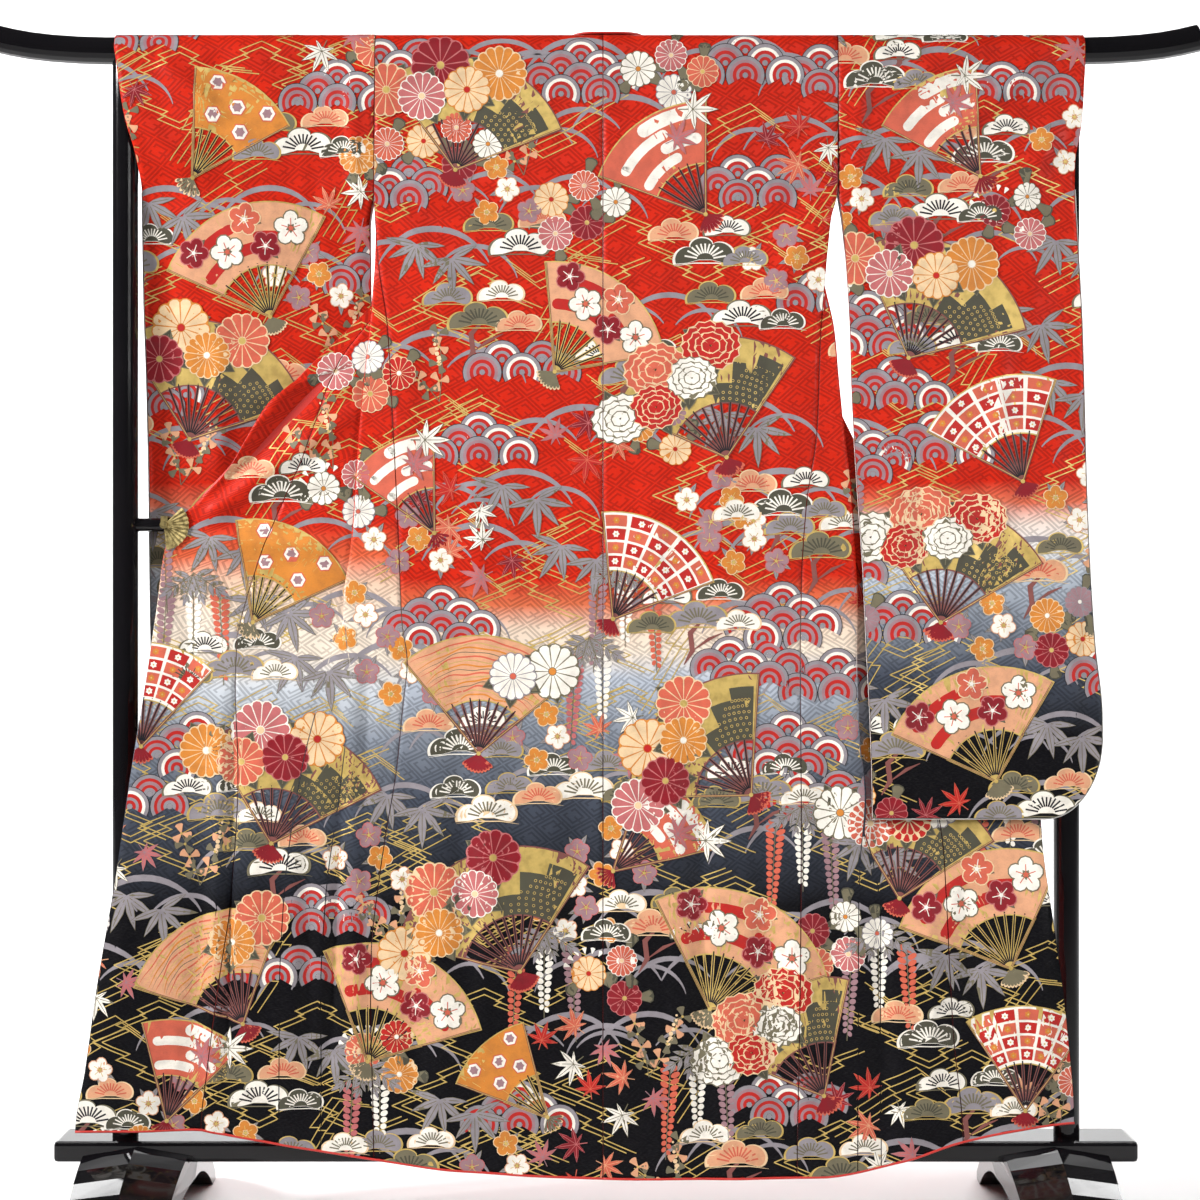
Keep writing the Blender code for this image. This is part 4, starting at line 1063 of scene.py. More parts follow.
@dataclass
class Sleeve:
    """A long sleeve: one length over the rail, closed round its outer edge and foot, open inside."""

    wardrobe: Wardrobe
    side: str
    columns: int = 33
    corner_columns: int = 12
    piece: bpy.types.Object | None = None
    grids: dict[str, np.ndarray] = field(default_factory=dict)

    def layer(self, name: str, heights: np.ndarray) -> np.ndarray:
        """Rows of points of the sleeve's back or front layer, from its inner edge out."""
        way = way_of(self.side)
        outline, depths = SLEEVE_OUTLINES[self.side], SLEEVE_LAYERS[self.side]
        z = heights[:, None]
        inner = smooth_at(outline, "inner", z) + way * SEAM_GAP / 2
        outer = smooth_at(outline, "outer" if name == "back" else "front_outer", z)
        knee = outer - way * CORNER_ACROSS
        main = mix(inner, knee, np.linspace(0, 1, self.columns)[:-1])
        corner = mix(knee, outer, np.linspace(0, 1, self.corner_columns))
        x = np.concatenate([main, corner], axis=1)
        across = (x - inner) / (outer - inner)
        y = mix(smooth_at(depths, f"{name}_in", z), smooth_at(depths, f"{name}_out", z), across)
        x, z = self._round_corner(x, z + 0 * x, outer)
        steady = 1 - 0.7 * ease(0.8, 1.0, across)
        y = y - fold_rise(x, z, SLEEVE_FOLDS) - crease_rise(x, z, SLEEVE_CREASES) * steady
        return np.stack([x, y, z], axis=2)

    @staticmethod
    def _round_corner(x: np.ndarray, z: np.ndarray, corner_x: np.ndarray) -> tuple[np.ndarray, np.ndarray]:
        """Moves points near the lower outer corner on to rings of a quarter ellipse."""
        inside = 1 - np.abs(x - corner_x) / CORNER_ACROSS
        down = (SLEEVE_BOTTOM + CORNER_UP - z) / CORNER_UP
        near = (inside > 0) & (down > 0)
        ring = np.where(near, np.maximum(inside, down) / np.maximum(np.hypot(inside, down), 1e-9), 1.0)
        way = np.sign(corner_x)
        new_x = corner_x - way * CORNER_ACROSS * (1 - inside * ring)
        new_z = SLEEVE_BOTTOM + CORNER_UP * (1 - down * ring)
        return np.where(near, new_x, x), np.where(near, new_z, z)

    def build(self) -> None:
        """Builds the sleeve."""
        way = way_of(self.side)
        upper = np.linspace(RAIL_HEIGHT, ARMHOLE_LOW, 27)[:-1]
        lower = np.linspace(ARMHOLE_LOW, SLEEVE_BOTTOM + CORNER_UP, 98)[:-1]
        corner = np.linspace(SLEEVE_BOTTOM + CORNER_UP, SLEEVE_BOTTOM, 16)
        heights = np.concatenate([upper, lower, corner])
        back, front = (self.layer(name, heights) for name in ("back", "front"))
        turns = np.linspace(0, math.pi, 19)[1:-1, None]
        top_x = np.repeat(back[:1, :, 0], len(turns), axis=0)
        start = np.repeat(back[:1, :, 1], len(turns), axis=0)
        end = np.repeat(front[:1, :, 1], len(turns), axis=0)
        radius = mix(-start, end, (1 - np.cos(turns)) / 2)
        crest = np.stack([top_x, -radius * np.cos(turns), RAIL_HEIGHT + radius * np.sin(turns)], axis=2)
        grid = np.concatenate([back[::-1], crest, front])
        rows, columns = len(back), grid.shape[1]
        rim = [(r, columns - 1) for r in range(len(upper), rows)] + [(rows - 1, c) for c in range(columns - 2, -1, -1)]
        back_rim = [(rows - 1 - r) * columns + c for r, c in rim]
        front_rim = [(rows + len(crest) + r) * columns + c for r, c in rim]
        points = grid.reshape(-1, 3)
        a, b = points[back_rim], points[front_rim]
        run = np.gradient(a, axis=0)
        run /= np.linalg.norm(run[:, [0, 2]], axis=1)[:, None]
        out = np.stack([-run[:, 2], 0 * run[:, 0], run[:, 0]], axis=1) * way
        half = np.minimum(np.abs(b[:, 1] - a[:, 1]) / 2, SLEEVE_SWELL)[:, None]
        round_points, faces = [], []
        steps = (0.15, 0.5, 0.85)
        for step in steps:
            round_points.append(mix(a, b, step) + out * half * math.sin(math.pi * step))
        chains = [back_rim] + [
            [len(points) + k * len(rim) + i for i in range(len(rim))] for k in range(len(steps))
        ] + [front_rim]
        for first, second in zip(chains, chains[1:]):
            for i in range(len(rim) - 1):
                quad = (first[i], first[i + 1], second[i + 1], second[i])
                faces.append(quad if way < 0 else quad[::-1])
        self.grids = {"back": np.concatenate([crest[: len(crest) // 2 + 1][::-1], back]), "front": front}
        panel = ClothPanel(
            f"sleeve_{self.side}_cloth", grid, self.wardrobe.sleeve, self.wardrobe.sleeve_lining, self.wardrobe.roll,
            "vermilion_silk_sleeve", flipped=way < 0, seams=(True, False),
            extra_points=np.concatenate(round_points), extra_faces=faces,
        )
        self.piece = panel.build()


@dataclass
class Collar:
    """The folded band up both front edges and round the neck."""

    wardrobe: Wardrobe
    columns: int = 9
    piece: bpy.types.Object | None = None

    def path(self) -> np.ndarray:
        """(x, height) along the sewn edge, where heights over the rail are unrolled round it."""
        corners = []
        for way in (-1, 1):
            middle = NECK_MIDDLE + way * (NECK_HALF - NECK_CORNER)
            turns = np.linspace(0, math.pi / 2, 12)
            x = middle + way * NECK_CORNER * np.cos(turns)
            height = NECK_TOP - NECK_CORNER * (1 - np.sin(turns))
            corner = np.stack([x, height], axis=1)
            corners.append(corner if way < 0 else corner[::-1])
        legs = [np.stack([leg["x"], leg["height"]], axis=1) for leg in (COLLAR_LEGS["left"], COLLAR_LEGS["right"])]
        path = np.concatenate([legs[0], *corners, legs[1][::-1]])
        lengths = np.concatenate([[0], np.cumsum(np.hypot(*np.diff(path, axis=0).T))])
        at = np.linspace(0, lengths[-1], round(lengths[-1] / GRID))
        path = np.stack([np.interp(at, lengths, path[:, i]) for i in (0, 1)], axis=1)
        for _ in range(6):
            path[1:-1] = (path[:-2] + 2 * path[1:-1] + path[2:]) / 4
        return path

    def build(self, fronts: dict[str, Front]) -> None:
        """Builds the collar behind the fronts.

        Args:
            fronts: The two fronts, by side.
        """
        path = self.path()
        run = np.gradient(path, axis=0)
        run /= np.linalg.norm(run, axis=1)[:, None]
        shares = np.linspace(0, COLLAR_WIDTH, self.columns)
        x = path[:, :1] + run[:, 1:] * shares
        height = path[:, 1:] - run[:, :1] * shares
        y, z = over_rail(height, COLLAR_HANG, near=False)
        low = height <= RAIL_HEIGHT
        for i, j in zip(*np.nonzero(low)):
            front = fronts["left" if x[i, j] < CENTRE_BACK else "right"]
            step = mix(COLLAR_STEP, COLLAR_HANG - HANG, float(ease(1640 * MM, RAIL_HEIGHT, height[i, j])))
            y[i, j] = front.layer_depth("rear", height[i, j]) + step
            z[i, j] = height[i, j]
        panel = ClothPanel(
            "collar_cloth", np.stack([x, y, z], axis=2), self.wardrobe.roll, self.wardrobe.roll, self.wardrobe.roll,
            "vermilion_silk_collar", seams=(True, False), thickness=COLLAR_SHELL,
        )
        self.piece = panel.build()


@dataclass
class HemRoll:
    """The thin padded roll in which the lining shows along the hem."""

    wardrobe: Wardrobe
    side: str
    radius: float = 2.0 * MM
    sides: int = 8
    piece: bpy.types.Object | None = None

    def build(self, back: np.ndarray, front: np.ndarray, okumi: np.ndarray) -> None:
        """Builds the roll from the centre back out to the front edge.

        Args:
            back: The back half's points.
            front: The front's points.
            okumi: The overlap panel's points.
        """
        path = np.concatenate([back[-1], front[-1][1:], okumi[-1][1:]])
        path = path - np.array([0, 0, 0.6 * MM])
        run = np.gradient(path, axis=0)
        run /= np.linalg.norm(run, axis=1)[:, None]
        aside = np.cross(run, np.array([0.0, 1.0, 0.0]))
        aside /= np.linalg.norm(aside, axis=1)[:, None]
        up = np.cross(aside, run)
        turns = np.linspace(0, 2 * math.pi, self.sides, endpoint=False)
        rings = [path + self.radius * (math.cos(t) * aside + math.sin(t) * up) for t in turns]
        points = np.stack(rings, axis=1).reshape(-1, 3)
        count = len(path)
        faces = [
            (i * self.sides + k, i * self.sides + (k + 1) % self.sides, (i + 1) * self.sides + (k + 1) % self.sides,
             (i + 1) * self.sides + k)
            for i in range(count - 1)
            for k in range(self.sides)
        ]
        faces.append(tuple(range(self.sides))[::-1])
        faces.append(tuple((count - 1) * self.sides + k for k in range(self.sides)))
        self.piece = mesh_piece(f"hem_roll_{self.side}", points, faces)
        self.piece.data.materials.append(self.wardrobe.roll)


@dataclass
class Stand:
    """The lacquered stand and the brass clip, carried over from the model with better finishes."""

    wardrobe: Wardrobe
    wood: tuple[str, ...] = ("top_rail", "mid_rail", "post_left", "post_right", "base_beam", "foot_left", "foot_right")
    metal: tuple[str, ...] = ("clip_fan", "clip_grip")

    def build(self) -> None:
        """Gives each node its finish."""
        for names, finish in ((self.wood, self.wardrobe.lacquer), (self.metal, self.wardrobe.brass)):
            for name in names:
                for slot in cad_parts[name].material_slots:
                    slot.material = finish


@dataclass
class Studio:
    """The camera of the photograph, a pale floor that curves up behind, and soft light."""

    eye: Colour = (0.006, -3.325, 0.9125)
    focal: float = 2260 / 1200 * 36
    floor_depth: float = 5.2
    floor_width: float = 14.0

    def build(self) -> None:
        """Builds the studio."""
        scene = bpy.context.scene
        camera = bpy.data.objects.new("camera", bpy.data.cameras.new("camera"))
        camera.location = self.eye
        camera.rotation_euler = (math.pi / 2, 0, 0)
        camera.data.lens = self.focal
        camera.data.sensor_width = 36
        camera.data.clip_start = 0.05
        scene.collection.objects.link(camera)
        scene.camera = camera
        self._add_floor()
        self._add_light("key", (-4.6, -2.0, 3.2), 0.9, 1.0, 52, spread=60)
        self._add_light("fill", (3.4, -3.2, 2.4), 1.2, 1.4, 16, spread=60)
        self._add_light("front", (0.0, -4.4, 3.4), 1.8, 1.4, 5, spread=60)
        self._add_light("backdrop", (0.0, 2.2, 4.2), 7.0, 1.6, 620, (0.0, 6.0, 0.9))
        self._add_light("rear", (1.2, 4.6, 4.4), 2.4, 1.6, 30)
        world = bpy.data.worlds.new("studio")
        world.use_nodes = True
        background = world.node_tree.nodes["Background"]
        background.inputs["Color"].default_value = (1.0, 1.0, 1.0, 1)
        background.inputs["Strength"].default_value = 0.06
        scene.world = world
        scene.view_settings.view_transform = "Standard"

    def _add_floor(self) -> None:
        """Adds the floor with its sweep behind the stand."""
        half = self.floor_width / 2
        turns = np.linspace(0, math.pi / 2, 17)
        profile = [(-7.0, 0.0)] + [(self.floor_depth + 1.2 * math.sin(t), 1.2 * (1 - math.cos(t))) for t in turns]
        profile.append((self.floor_depth + 1.2, 8.0))
        points = [(x, y, z - 0.0005) for y, z in profile for x in (-half, half)]
        floor = mesh_piece("floor", np.array(points), grid_faces(len(profile), 2))
        floor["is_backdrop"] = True
        recipe = Recipe("floor_paper", Roughness=0.9)
        vector, x, z = recipe.place()
        recipe.paint(recipe.blend(recipe.noise(vector, 2.0), (0.90, 0.90, 0.90), (0.93, 0.93, 0.93)))
        floor.data.materials.append(recipe.material)

    @staticmethod
    def _add_light(
        name: str, place: Colour, width: float, height: float, power: float, target: Colour = (0, 0, 0.95),
        spread: float = 180.0,
    ) -> None:
        """Adds one soft light.

        Args:
            name: Its name.
            place: Where it stands.
            width: Its width.
            height: Its height.
            power: Its power in watts.
            target: Where it points.
            spread: How many degrees its beam fans out.
        """
        lamp = bpy.data.lights.new(name, "AREA")
        lamp.shape = "RECTANGLE"
        lamp.size = width
        lamp.size_y = height
        lamp.energy = power
        lamp.spread = math.radians(spread)
        piece = bpy.data.objects.new(name, lamp)
        piece.location = place
        aim = Vector(target) - Vector(place)
        piece.rotation_euler = aim.to_track_quat("-Z", "Y").to_euler()
        bpy.context.scene.collection.objects.link(piece)


class Dye(Enum):
    """The dyes of the printed and couched motifs."""

    WHITE = (0.86, 0.81, 0.72)
    CREAM = (0.78, 0.56, 0.33)
    PEACH = (0.68, 0.34, 0.19)
    CORAL = (0.60, 0.12, 0.07)
    RED = (0.46, 0.018, 0.014)
    CRIMSON = (0.23, 0.009, 0.016)
    ORANGE = (0.62, 0.22, 0.035)
    PINK = (0.50, 0.14, 0.14)
    MAUVE = (0.33, 0.19, 0.21)
    LILAC = (0.27, 0.245, 0.265)
    OLIVE = (0.165, 0.145, 0.09)
    MOSS = (0.07, 0.067, 0.045)
    BARK = (0.22, 0.075, 0.065)
    DARK = (0.012, 0.011, 0.014)
    GOLD = (0.62, 0.43, 0.12)


DYES = list(Dye)
LEVEL = 0.08 * MM
PRINT_LIFT = 0.22 * MM
# A printed triangle's side is split above the first length where the cloth sags behind it, above the second always
PRINT_EDGE = 7 * MM
PRINT_REACH = 24 * MM
PRINT_SAG = 0.12 * MM
PRINT_INSET = 0.7 * MM
PETAL_RUN = np.array([0.0, 0.3, 0.6, 0.82, 0.95, 1.0])
PETAL_SPREAD = np.array([0.14, 0.40, 0.68, 0.92, 0.66, 0.0])


def arc(radius: float, start: float, end: float, count: int) -> np.ndarray:
    """Points of an arc round 0, between two angles in degrees."""
    return radius * np.exp(1j * np.radians(np.linspace(start, end, count)))


def disc(centre: complex, radius: float, count: int = 9) -> np.ndarray:
    """Points round a circle."""
    return centre + arc(radius, 0, 360 * (1 - 1 / count), count)


def petal(inner: float, outer: float, width: float) -> np.ndarray:
    """Outline of a petal along the real axis, widest near its tip."""
    upper = mix(inner, outer, PETAL_RUN) + 0.5j * width * PETAL_SPREAD
    return np.concatenate([upper, upper[-2::-1].conj()])


def blade(inner: float, outer: float, width: float) -> np.ndarray:
    """Outline of a pointed leaf along the real axis."""
    run = np.array([0.0, 0.2, 0.45, 0.75, 1.0])
    upper = mix(inner, outer, run) + 0.5j * width * np.array([0.0, 0.7, 1.0, 0.6, 0.0])
    return np.concatenate([upper, upper[-2:0:-1].conj()])


class Pen:
    """Draws flat dyed shapes on the cloth's own plane; points are complex numbers in metres."""

    def __init__(self) -> None:
        """Starts with nothing drawn."""
        self.corners: list[np.ndarray] = []
        self.marks: list[np.ndarray] = []
        self.origin = 0j
        self.swing = 1 + 0j
        self.level = 0.0

    def at(self, origin: complex, turn: float = 0.0, level: float = 0.0) -> "Pen":
        """Moves the pen's own axes.

        Args:
            origin: Where they go.
            turn: Their turn in degrees.
            level: The layer that drawing starts on.

        Returns:
            The pen.
        """
        self.origin, self.swing, self.level = origin, complex(np.exp(1j * math.radians(turn))), level
        return self

    def _add(self, a: np.ndarray, b: np.ndarray, c: np.ndarray, dye: Dye, level: float) -> None:
        """Keeps triangles, given their three corners as arrays."""
        self.corners.append(self.origin + self.swing * np.stack([a, b, c], axis=1))
        self.marks.append(np.tile([float(DYES.index(dye)), self.level + level], (len(a), 1)))

    def patch(self, outline: np.ndarray, dye: Dye, level: float = 0.0) -> None:
        """Fills an outline that its middle sees all of."""
        self._add(np.full_like(outline, outline.mean()), outline, np.roll(outline, -1), dye, level)

    def band(self, left: np.ndarray, right: np.ndarray, dye: Dye, level: float = 0.0) -> None:
        """Fills the band between two lines of points."""
        self._add(left[:-1], right[:-1], right[1:], dye, level)
        self._add(left[:-1], right[1:], left[1:], dye, level)

    def line(self, points: np.ndarray, width: float, dye: Dye, level: float = 0.0, thin_ends: bool = False) -> None:
        """Draws a line of even width, or one that thins towards both ends."""
        runs = np.diff(points)
        runs = runs / np.abs(runs)
        before, after = np.concatenate([runs[:1], runs]), np.concatenate([runs, runs[-1:]])
        along = before + after
        along = along / np.maximum(np.abs(along), 1e-6)
        square = np.maximum(np.real(along * before.conj()), 0.4)
        half = 0.5j * width * along / square
        if thin_ends:
            half = half * np.sin(np.linspace(0.08, math.pi - 0.08, len(points))) ** 0.7
        self.band(points + half, points - half, dye, level)


def chrysanthemum(pen: Pen, radius: float, petals: int, face: Dye, line: Dye, heart: Dye, rings: int = 1) -> None:
    """A round chrysanthemum with one or more rings of petals.

    Args:
        pen: The pen, at the flower's middle.
        radius: The flower's radius.
        petals: Petals in the outer ring.
        face: Dye of the petals.
        line: Dye of the lines between them.
        heart: Dye of the heart.
        rings: How many rings there are.
    """
    turns = np.linspace(0, 360, 4 * petals, endpoint=False)
    scallop = radius * (1 - 0.07 * np.tile([0, 0.25, 1, 0.25], petals))
    pen.patch(scallop * np.exp(1j * np.radians(turns + 0.0)), line)
    for ring in range(rings):
        reach = radius * (0.965 - 0.29 * ring)
        inner = radius * 0.15 if ring == rings - 1 else reach - 0.42 * radius
        count = max(petals - 3 * ring, 7)
        width = 2 * math.pi * reach / count * (0.84 if rings == 1 else 0.76)
        for k in range(count):
            swing = np.exp(2j * math.pi * (k + ring / 2) / count)
            if ring:
                pen.patch(petal(inner, reach + 0.03 * radius, width * 1.28) * swing, line, 2 * ring)
            pen.patch(petal(inner, reach, width) * swing, face, 2 * ring + 1)
    pen.patch(disc(0, radius * 0.13), heart, 2 * rings + 0.5)


def blossom(pen: Pen, radius: float, face: Dye, line: Dye, heart: Dye) -> None:
    """A five-petalled plum or cherry blossom."""
    for k in range(5):
        swing = np.exp(2j * math.pi * (k + 0.25) / 5)
        pen.patch(disc(0.56 * radius, 0.45 * radius, 10) * swing, line)
        pen.patch(disc(0.56 * radius, 0.38 * radius, 10) * swing, face, 1)
    for k in range(5):
        swing = np.exp(2j * math.pi * (k + 0.25) / 5)
        pen.line(np.array([0.05, 0.55]) * radius * swing, 0.05 * radius, heart, 2)
    pen.patch(disc(0, radius * 0.13, 7), heart, 3)


def peony(pen: Pen, radius: float, face: Dye, line: Dye) -> None:
    """A full peony: rings of broad petals with notched rims, each over the next."""
    notches = np.array([0.86, 1.0, 0.93, 1.02, 0.93, 1.0, 0.86])
    level = 0.0
    for reach, count, half in ((1.0, 8, 33), (0.76, 7, 37), (0.53, 5, 48), (0.30, 3, 75)):
        for k in range(count):
            swing = np.exp(1j * math.radians(360 * k / count + 31 * count))
            for grow, dye in ((0.045, line), (0.0, face)):
                rim = (reach + grow) * radius * notches * np.exp(1j * np.radians(np.linspace(-half, half, 7) * (1 + grow)))
                foot = 0.12 * radius * np.exp(1j * np.radians([half, -half]))
                outline = np.concatenate([rim, foot]) * swing
                pen.patch(outline.real + 0.84j * outline.imag, dye, level)
                level += 0.22


def maple(pen: Pen, radius: float, face: Dye, line: Dye) -> None:
    """A seven-lobed maple leaf that points along the real axis."""
    points, tips = [], []
    lobes = list(zip((-128, -84, -41, 0, 41, 84, 128), (0.55, 0.82, 0.96, 1.0, 0.96, 0.82, 0.55)))
    for angle, reach in lobes:
        for aside, share in ((-19, 0.34), (-10, 0.62), (0, 1.0), (10, 0.62), (19, 0.34)):
            points.append(radius * reach * share * np.exp(1j * math.radians(angle + aside * (1 if share > 0.4 else 1.1))))
        tips.append(radius * reach * 0.82 * np.exp(1j * math.radians(angle)))
    outline = np.array(points)
    pen.patch(outline * 1.07, line)
    pen.patch(outline, face, 1)
    for tip in tips:
        pen.line(np.array([0, tip]), 0.028 * radius, line, 2)
    pen.line(np.array([0, -0.55 * radius]), 0.04 * radius, line, 1)


def leaf_spray(pen: Pen, reach: float, count: int, spread: float, width: float, face: Dye, line: Dye) -> None:
    """Pointed leaves that fan out from one place.

    Args:
        pen: The pen, at that place, its real axis along the middle leaf.
        reach: The middle leaf's length.
        count: How many leaves there are.
        spread: Degrees between the outer leaves.
        width: A leaf's width over its length.
        face: Dye of the leaves.
        line: Dye of their ribs and edges.
    """
    for k, turn in enumerate(np.linspace(-spread / 2, spread / 2, count)):
        length = reach * (1 - 0.3 * abs(turn) / spread * 2 * 0.8) * (1 - 0.12 * (k % 2))
        swing = np.exp(1j * math.radians(turn))
        pen.patch(blade(0, length * 1.04, length * width * 1.16) * swing, line, 0.4 * (k % 2))
        pen.patch(blade(0, length, length * width) * swing, face, 0.5 + 0.4 * (k % 2))
        pen.line(np.array([0.12, 0.85]) * length * swing, 0.02 * reach, line, 1.4)


def pine(pen: Pen, width: float, face: Dye, bars: Dye, rim: Dye) -> None:
    """One cushion of pine needles: a scalloped cloud with needles as rays."""
    turns = np.radians(np.linspace(-6, 186, 49))
    reach = 1 / np.hypot(np.cos(turns) / (0.5 * width), np.sin(turns) / (0.38 * width))
    scallop = 0.74 + 0.26 * np.abs(np.sin(2.5 * (turns + 0.105))) ** 0.6
    top = reach * scallop * np.exp(1j * turns)
    under = width * np.array([-0.30 - 0.035j, -0.1 + 0.02j, 0.1 + 0.02j, 0.30 - 0.035j])
    outline = np.concatenate([top, under])
    middle = 0.13j * width
    pen.patch(middle + (outline - middle) * 1.09, rim)
    pen.patch(outline, face, 1)
    for turn in np.radians(np.linspace(10, 170, 11)):
        ray = 1 / math.hypot(math.cos(turn) / (0.5 * width), math.sin(turn) / (0.38 * width)) * np.exp(1j * turn)
        pen.line(np.array([0.28, 0.70]) * ray + 0.02j * width, 0.028 * width, bars, 2)
    pen.line(width * np.array([-0.52 - 0.09j, -0.2 - 0.04j, 0.2 - 0.04j, 0.52 - 0.09j]), 0.02 * width, rim, 0.5, True)


def seigaiha(pen: Pen, radius: float, rows: Sequence[int]) -> None:
    """A mound of overlapping wave scales.

    Args:
        pen: The pen, at the middle of the top row.
        radius: One scale's radius.
        rows: How many scales each row has, from the top.
    """
    reaches = (1.0, 0.965, 0.79, 0.635, 0.455, 0.31, 0.15)
    sets = (
        (Dye.DARK, Dye.LILAC, Dye.WHITE, Dye.RED, Dye.LILAC, Dye.RED),
        (Dye.DARK, Dye.LILAC, Dye.MAUVE, Dye.RED, Dye.MAUVE, Dye.RED),
        (Dye.DARK, Dye.LILAC, Dye.RED, Dye.MAUVE, Dye.RED, Dye.LILAC),
    )
    ring = arc(radius, -30, 210, 17)
    for row, count in enumerate(rows):
        for j in range(count):
            centre = complex((2 * j - count + 1) * radius, -0.62 * radius * row)
            dyes = sets[(row + 2 * j) % 3]
            for outer, inner, dye in zip(reaches, reaches[1:], dyes):
                pen.band(centre + outer * ring, centre + inner * ring, dye, row)
            pen.patch(disc(centre, 0.15 * radius, 7), Dye.LILAC, row)


def raceme(pen: Pen, length: float, width: float, face: Dye, stem: Dye) -> None:
    """One hanging raceme of wisteria, which tapers down from the pen."""
    pitch = 9.4 * MM
    lobe = disc(0, 1, 9)
    for k in range(int(length / pitch)):
        share = k * pitch / length
        wide = width * (1 - 0.66 * share) * (0.7 if k == 0 else 1)
        for way in (-1, 1):
            spot = complex(way * wide * 0.27, -k * pitch - (0.45 * pitch if way > 0 else 0))
            tilted = (lobe.real * wide * 0.25 + 1j * lobe.imag * pitch * 0.44) * np.exp(0.5j * way)
            pen.patch(spot + tilted, face)
    pen.line(np.array([0, -0.5j * length, -1j * length]), 1.1 * MM, stem, 1)


def compound_leaf(pen: Pen, length: float, face: Dye, line: Dye) -> None:
    """A feathered leaf along the real axis, with leaflets in pairs."""
    for k in range(4):
        for way in (-1, 1):
            pen.level += 0.25
            knot, reach = (0.12 + 0.22 * k) * length, (0.50 - 0.05 * k) * length
            swing = np.exp(1j * math.radians(way * (52 - 7 * k)))
            pen.patch(knot + blade(0, reach * 1.04, 0.36 * reach) * swing, line)
            pen.patch(knot + blade(0, reach, 0.29 * reach) * swing, face, 0.15)
            pen.line(knot + np.array([0.1, 0.85]) * reach * swing, 0.9 * MM, line, 0.3)
    pen.patch(0.85 * length + blade(0, 0.42 * length, 0.13 * length), face, 0.3)
    pen.line(np.array([0, length]), 1.3 * MM, line, 0.6)


def wisteria(pen: Pen, origin: complex, size: float, faces: Sequence[Dye], level: float) -> None:
    """Lilac leaves over two or three hanging racemes."""
    for k, face in enumerate(faces):
        aside = (k - (len(faces) - 1) / 2) * 0.32 * size
        pen.at(origin + aside, 3 * (k - 1), level)
        raceme(pen, size * (1.12 - 0.3 * (k % 2)), 0.25 * size, face, Dye.OLIVE)
    for turn, reach in ((214, 0.40), (326, 0.42), (252, 0.33), (290, 0.33)):
        pen.at(origin + (0.16 + 0.0002 * turn) * 1j * size, turn, level + 2)
        compound_leaf(pen, reach * size, Dye.LILAC, Dye.OLIVE)


def grass_arcs(pen: Pen, radius: float, dye: Dye) -> None:
    """Three crossing blades of bent grass."""
    for shift, size, turn in ((0, 1.0, 0), (-0.75, 0.78, 9), (0.7, 0.7, -12)):
        outer = size * radius * np.exp(1j * np.radians(np.linspace(158, 24, 17) + turn))
        inner = outer * (1 - 0.085 * np.sin(np.linspace(0.15, math.pi - 0.15, 17))) - 0.02j * radius
        pen.band(outer + shift * radius, inner + shift * radius, dye, 0.4 * (shift != 0))


PINE_BARK = np.array([-1, -0.50 + 0.34j, -0.63 + 0.44j, -0.20 + 0.72j, -0.31 + 0.82j, 0.02 + 1.05j])


def stepped_lozenge(pen: Pen, width: float, height: float, dye: Dye) -> None:
    """A pine-bark lozenge in double couched lines, drawn as two zigzags that end apart."""
    for size in (1.0, 0.85):
        half = PINE_BARK.real * width / 2 * size + 1j * PINE_BARK.imag * height / 2 * size
        for way in (1, -1):
            line = np.concatenate([half, -half[-2::-1].conj()])
            pen.line((line if way > 0 else line.conj())[: 11 - 2 * (way < 0)], 1.6 * MM, dye, 0.2 * (size < 1))


def lightning(pen: Pen, length: float, dye: Dye) -> None:
    """A run of stepped lines in the manner of pine bark, in double couched gold."""
    steps = np.array([0, 0.30 + 0.16j, 0.23 + 0.20j, 0.55 + 0.40j, 0.48 + 0.44j, 0.78 + 0.58j, 1.0 + 0.42j])
    for shift in (0j, 0.045 - 0.055j, 0.09 - 0.11j):
        pen.line((steps + shift) * length, 1.5 * MM, dye, 0.2 * (shift != 0))


def clover(pen: Pen, size: float) -> None:
    """A spray of bush clover: leaves in threes and small blossoms along two stems."""
    for turn, reach in ((68, 1.0), (112, 0.8)):
        stem = size * reach * np.array([0, 0.5, 1.0]) * np.exp(1j * np.radians([turn, turn + 4, turn + 10]))
        pen.line(stem, 1.2 * MM, Dye.OLIVE)
        for k, share in enumerate((0.3, 0.55, 0.8, 1.0)):
            knot = stem[2] * share
            for spin in (0, 120, 240):
                leaf = petal(0.01 * size, 0.15 * size, 0.13 * size) * np.exp(1j * math.radians(spin + 40 * k))
                pen.patch(knot + leaf, (Dye.PEACH, Dye.OLIVE)[(k + (turn > 90)) % 2], 1)
            pen.patch(disc(knot, 0.02 * size, 6), Dye.GOLD, 2)
    for k in range(7):
        pen.patch(disc(complex(0.12 + 0.016 * (k % 2), 0.55 + 0.07 * k) * size, (0.042 - 0.004 * k) * size, 7), Dye.CREAM, 1)


def bud_arc(pen: Pen, radius: float, dye: Dye) -> None:
    """An arc of small drops over a flower."""
    for turn in range(40, 141, 20):
        pen.patch(petal(radius, 1.32 * radius, 0.26 * radius) * np.exp(1j * math.radians(turn)), dye)


class FanStyle(Enum):
    """What a fan's paper shows."""

    MIST = "mist"
    GOLD = "gold"
    LATTICE = "lattice"
    WAVES = "waves"
    PLUM = "plum"
    HEXAGONS = "hexagons"


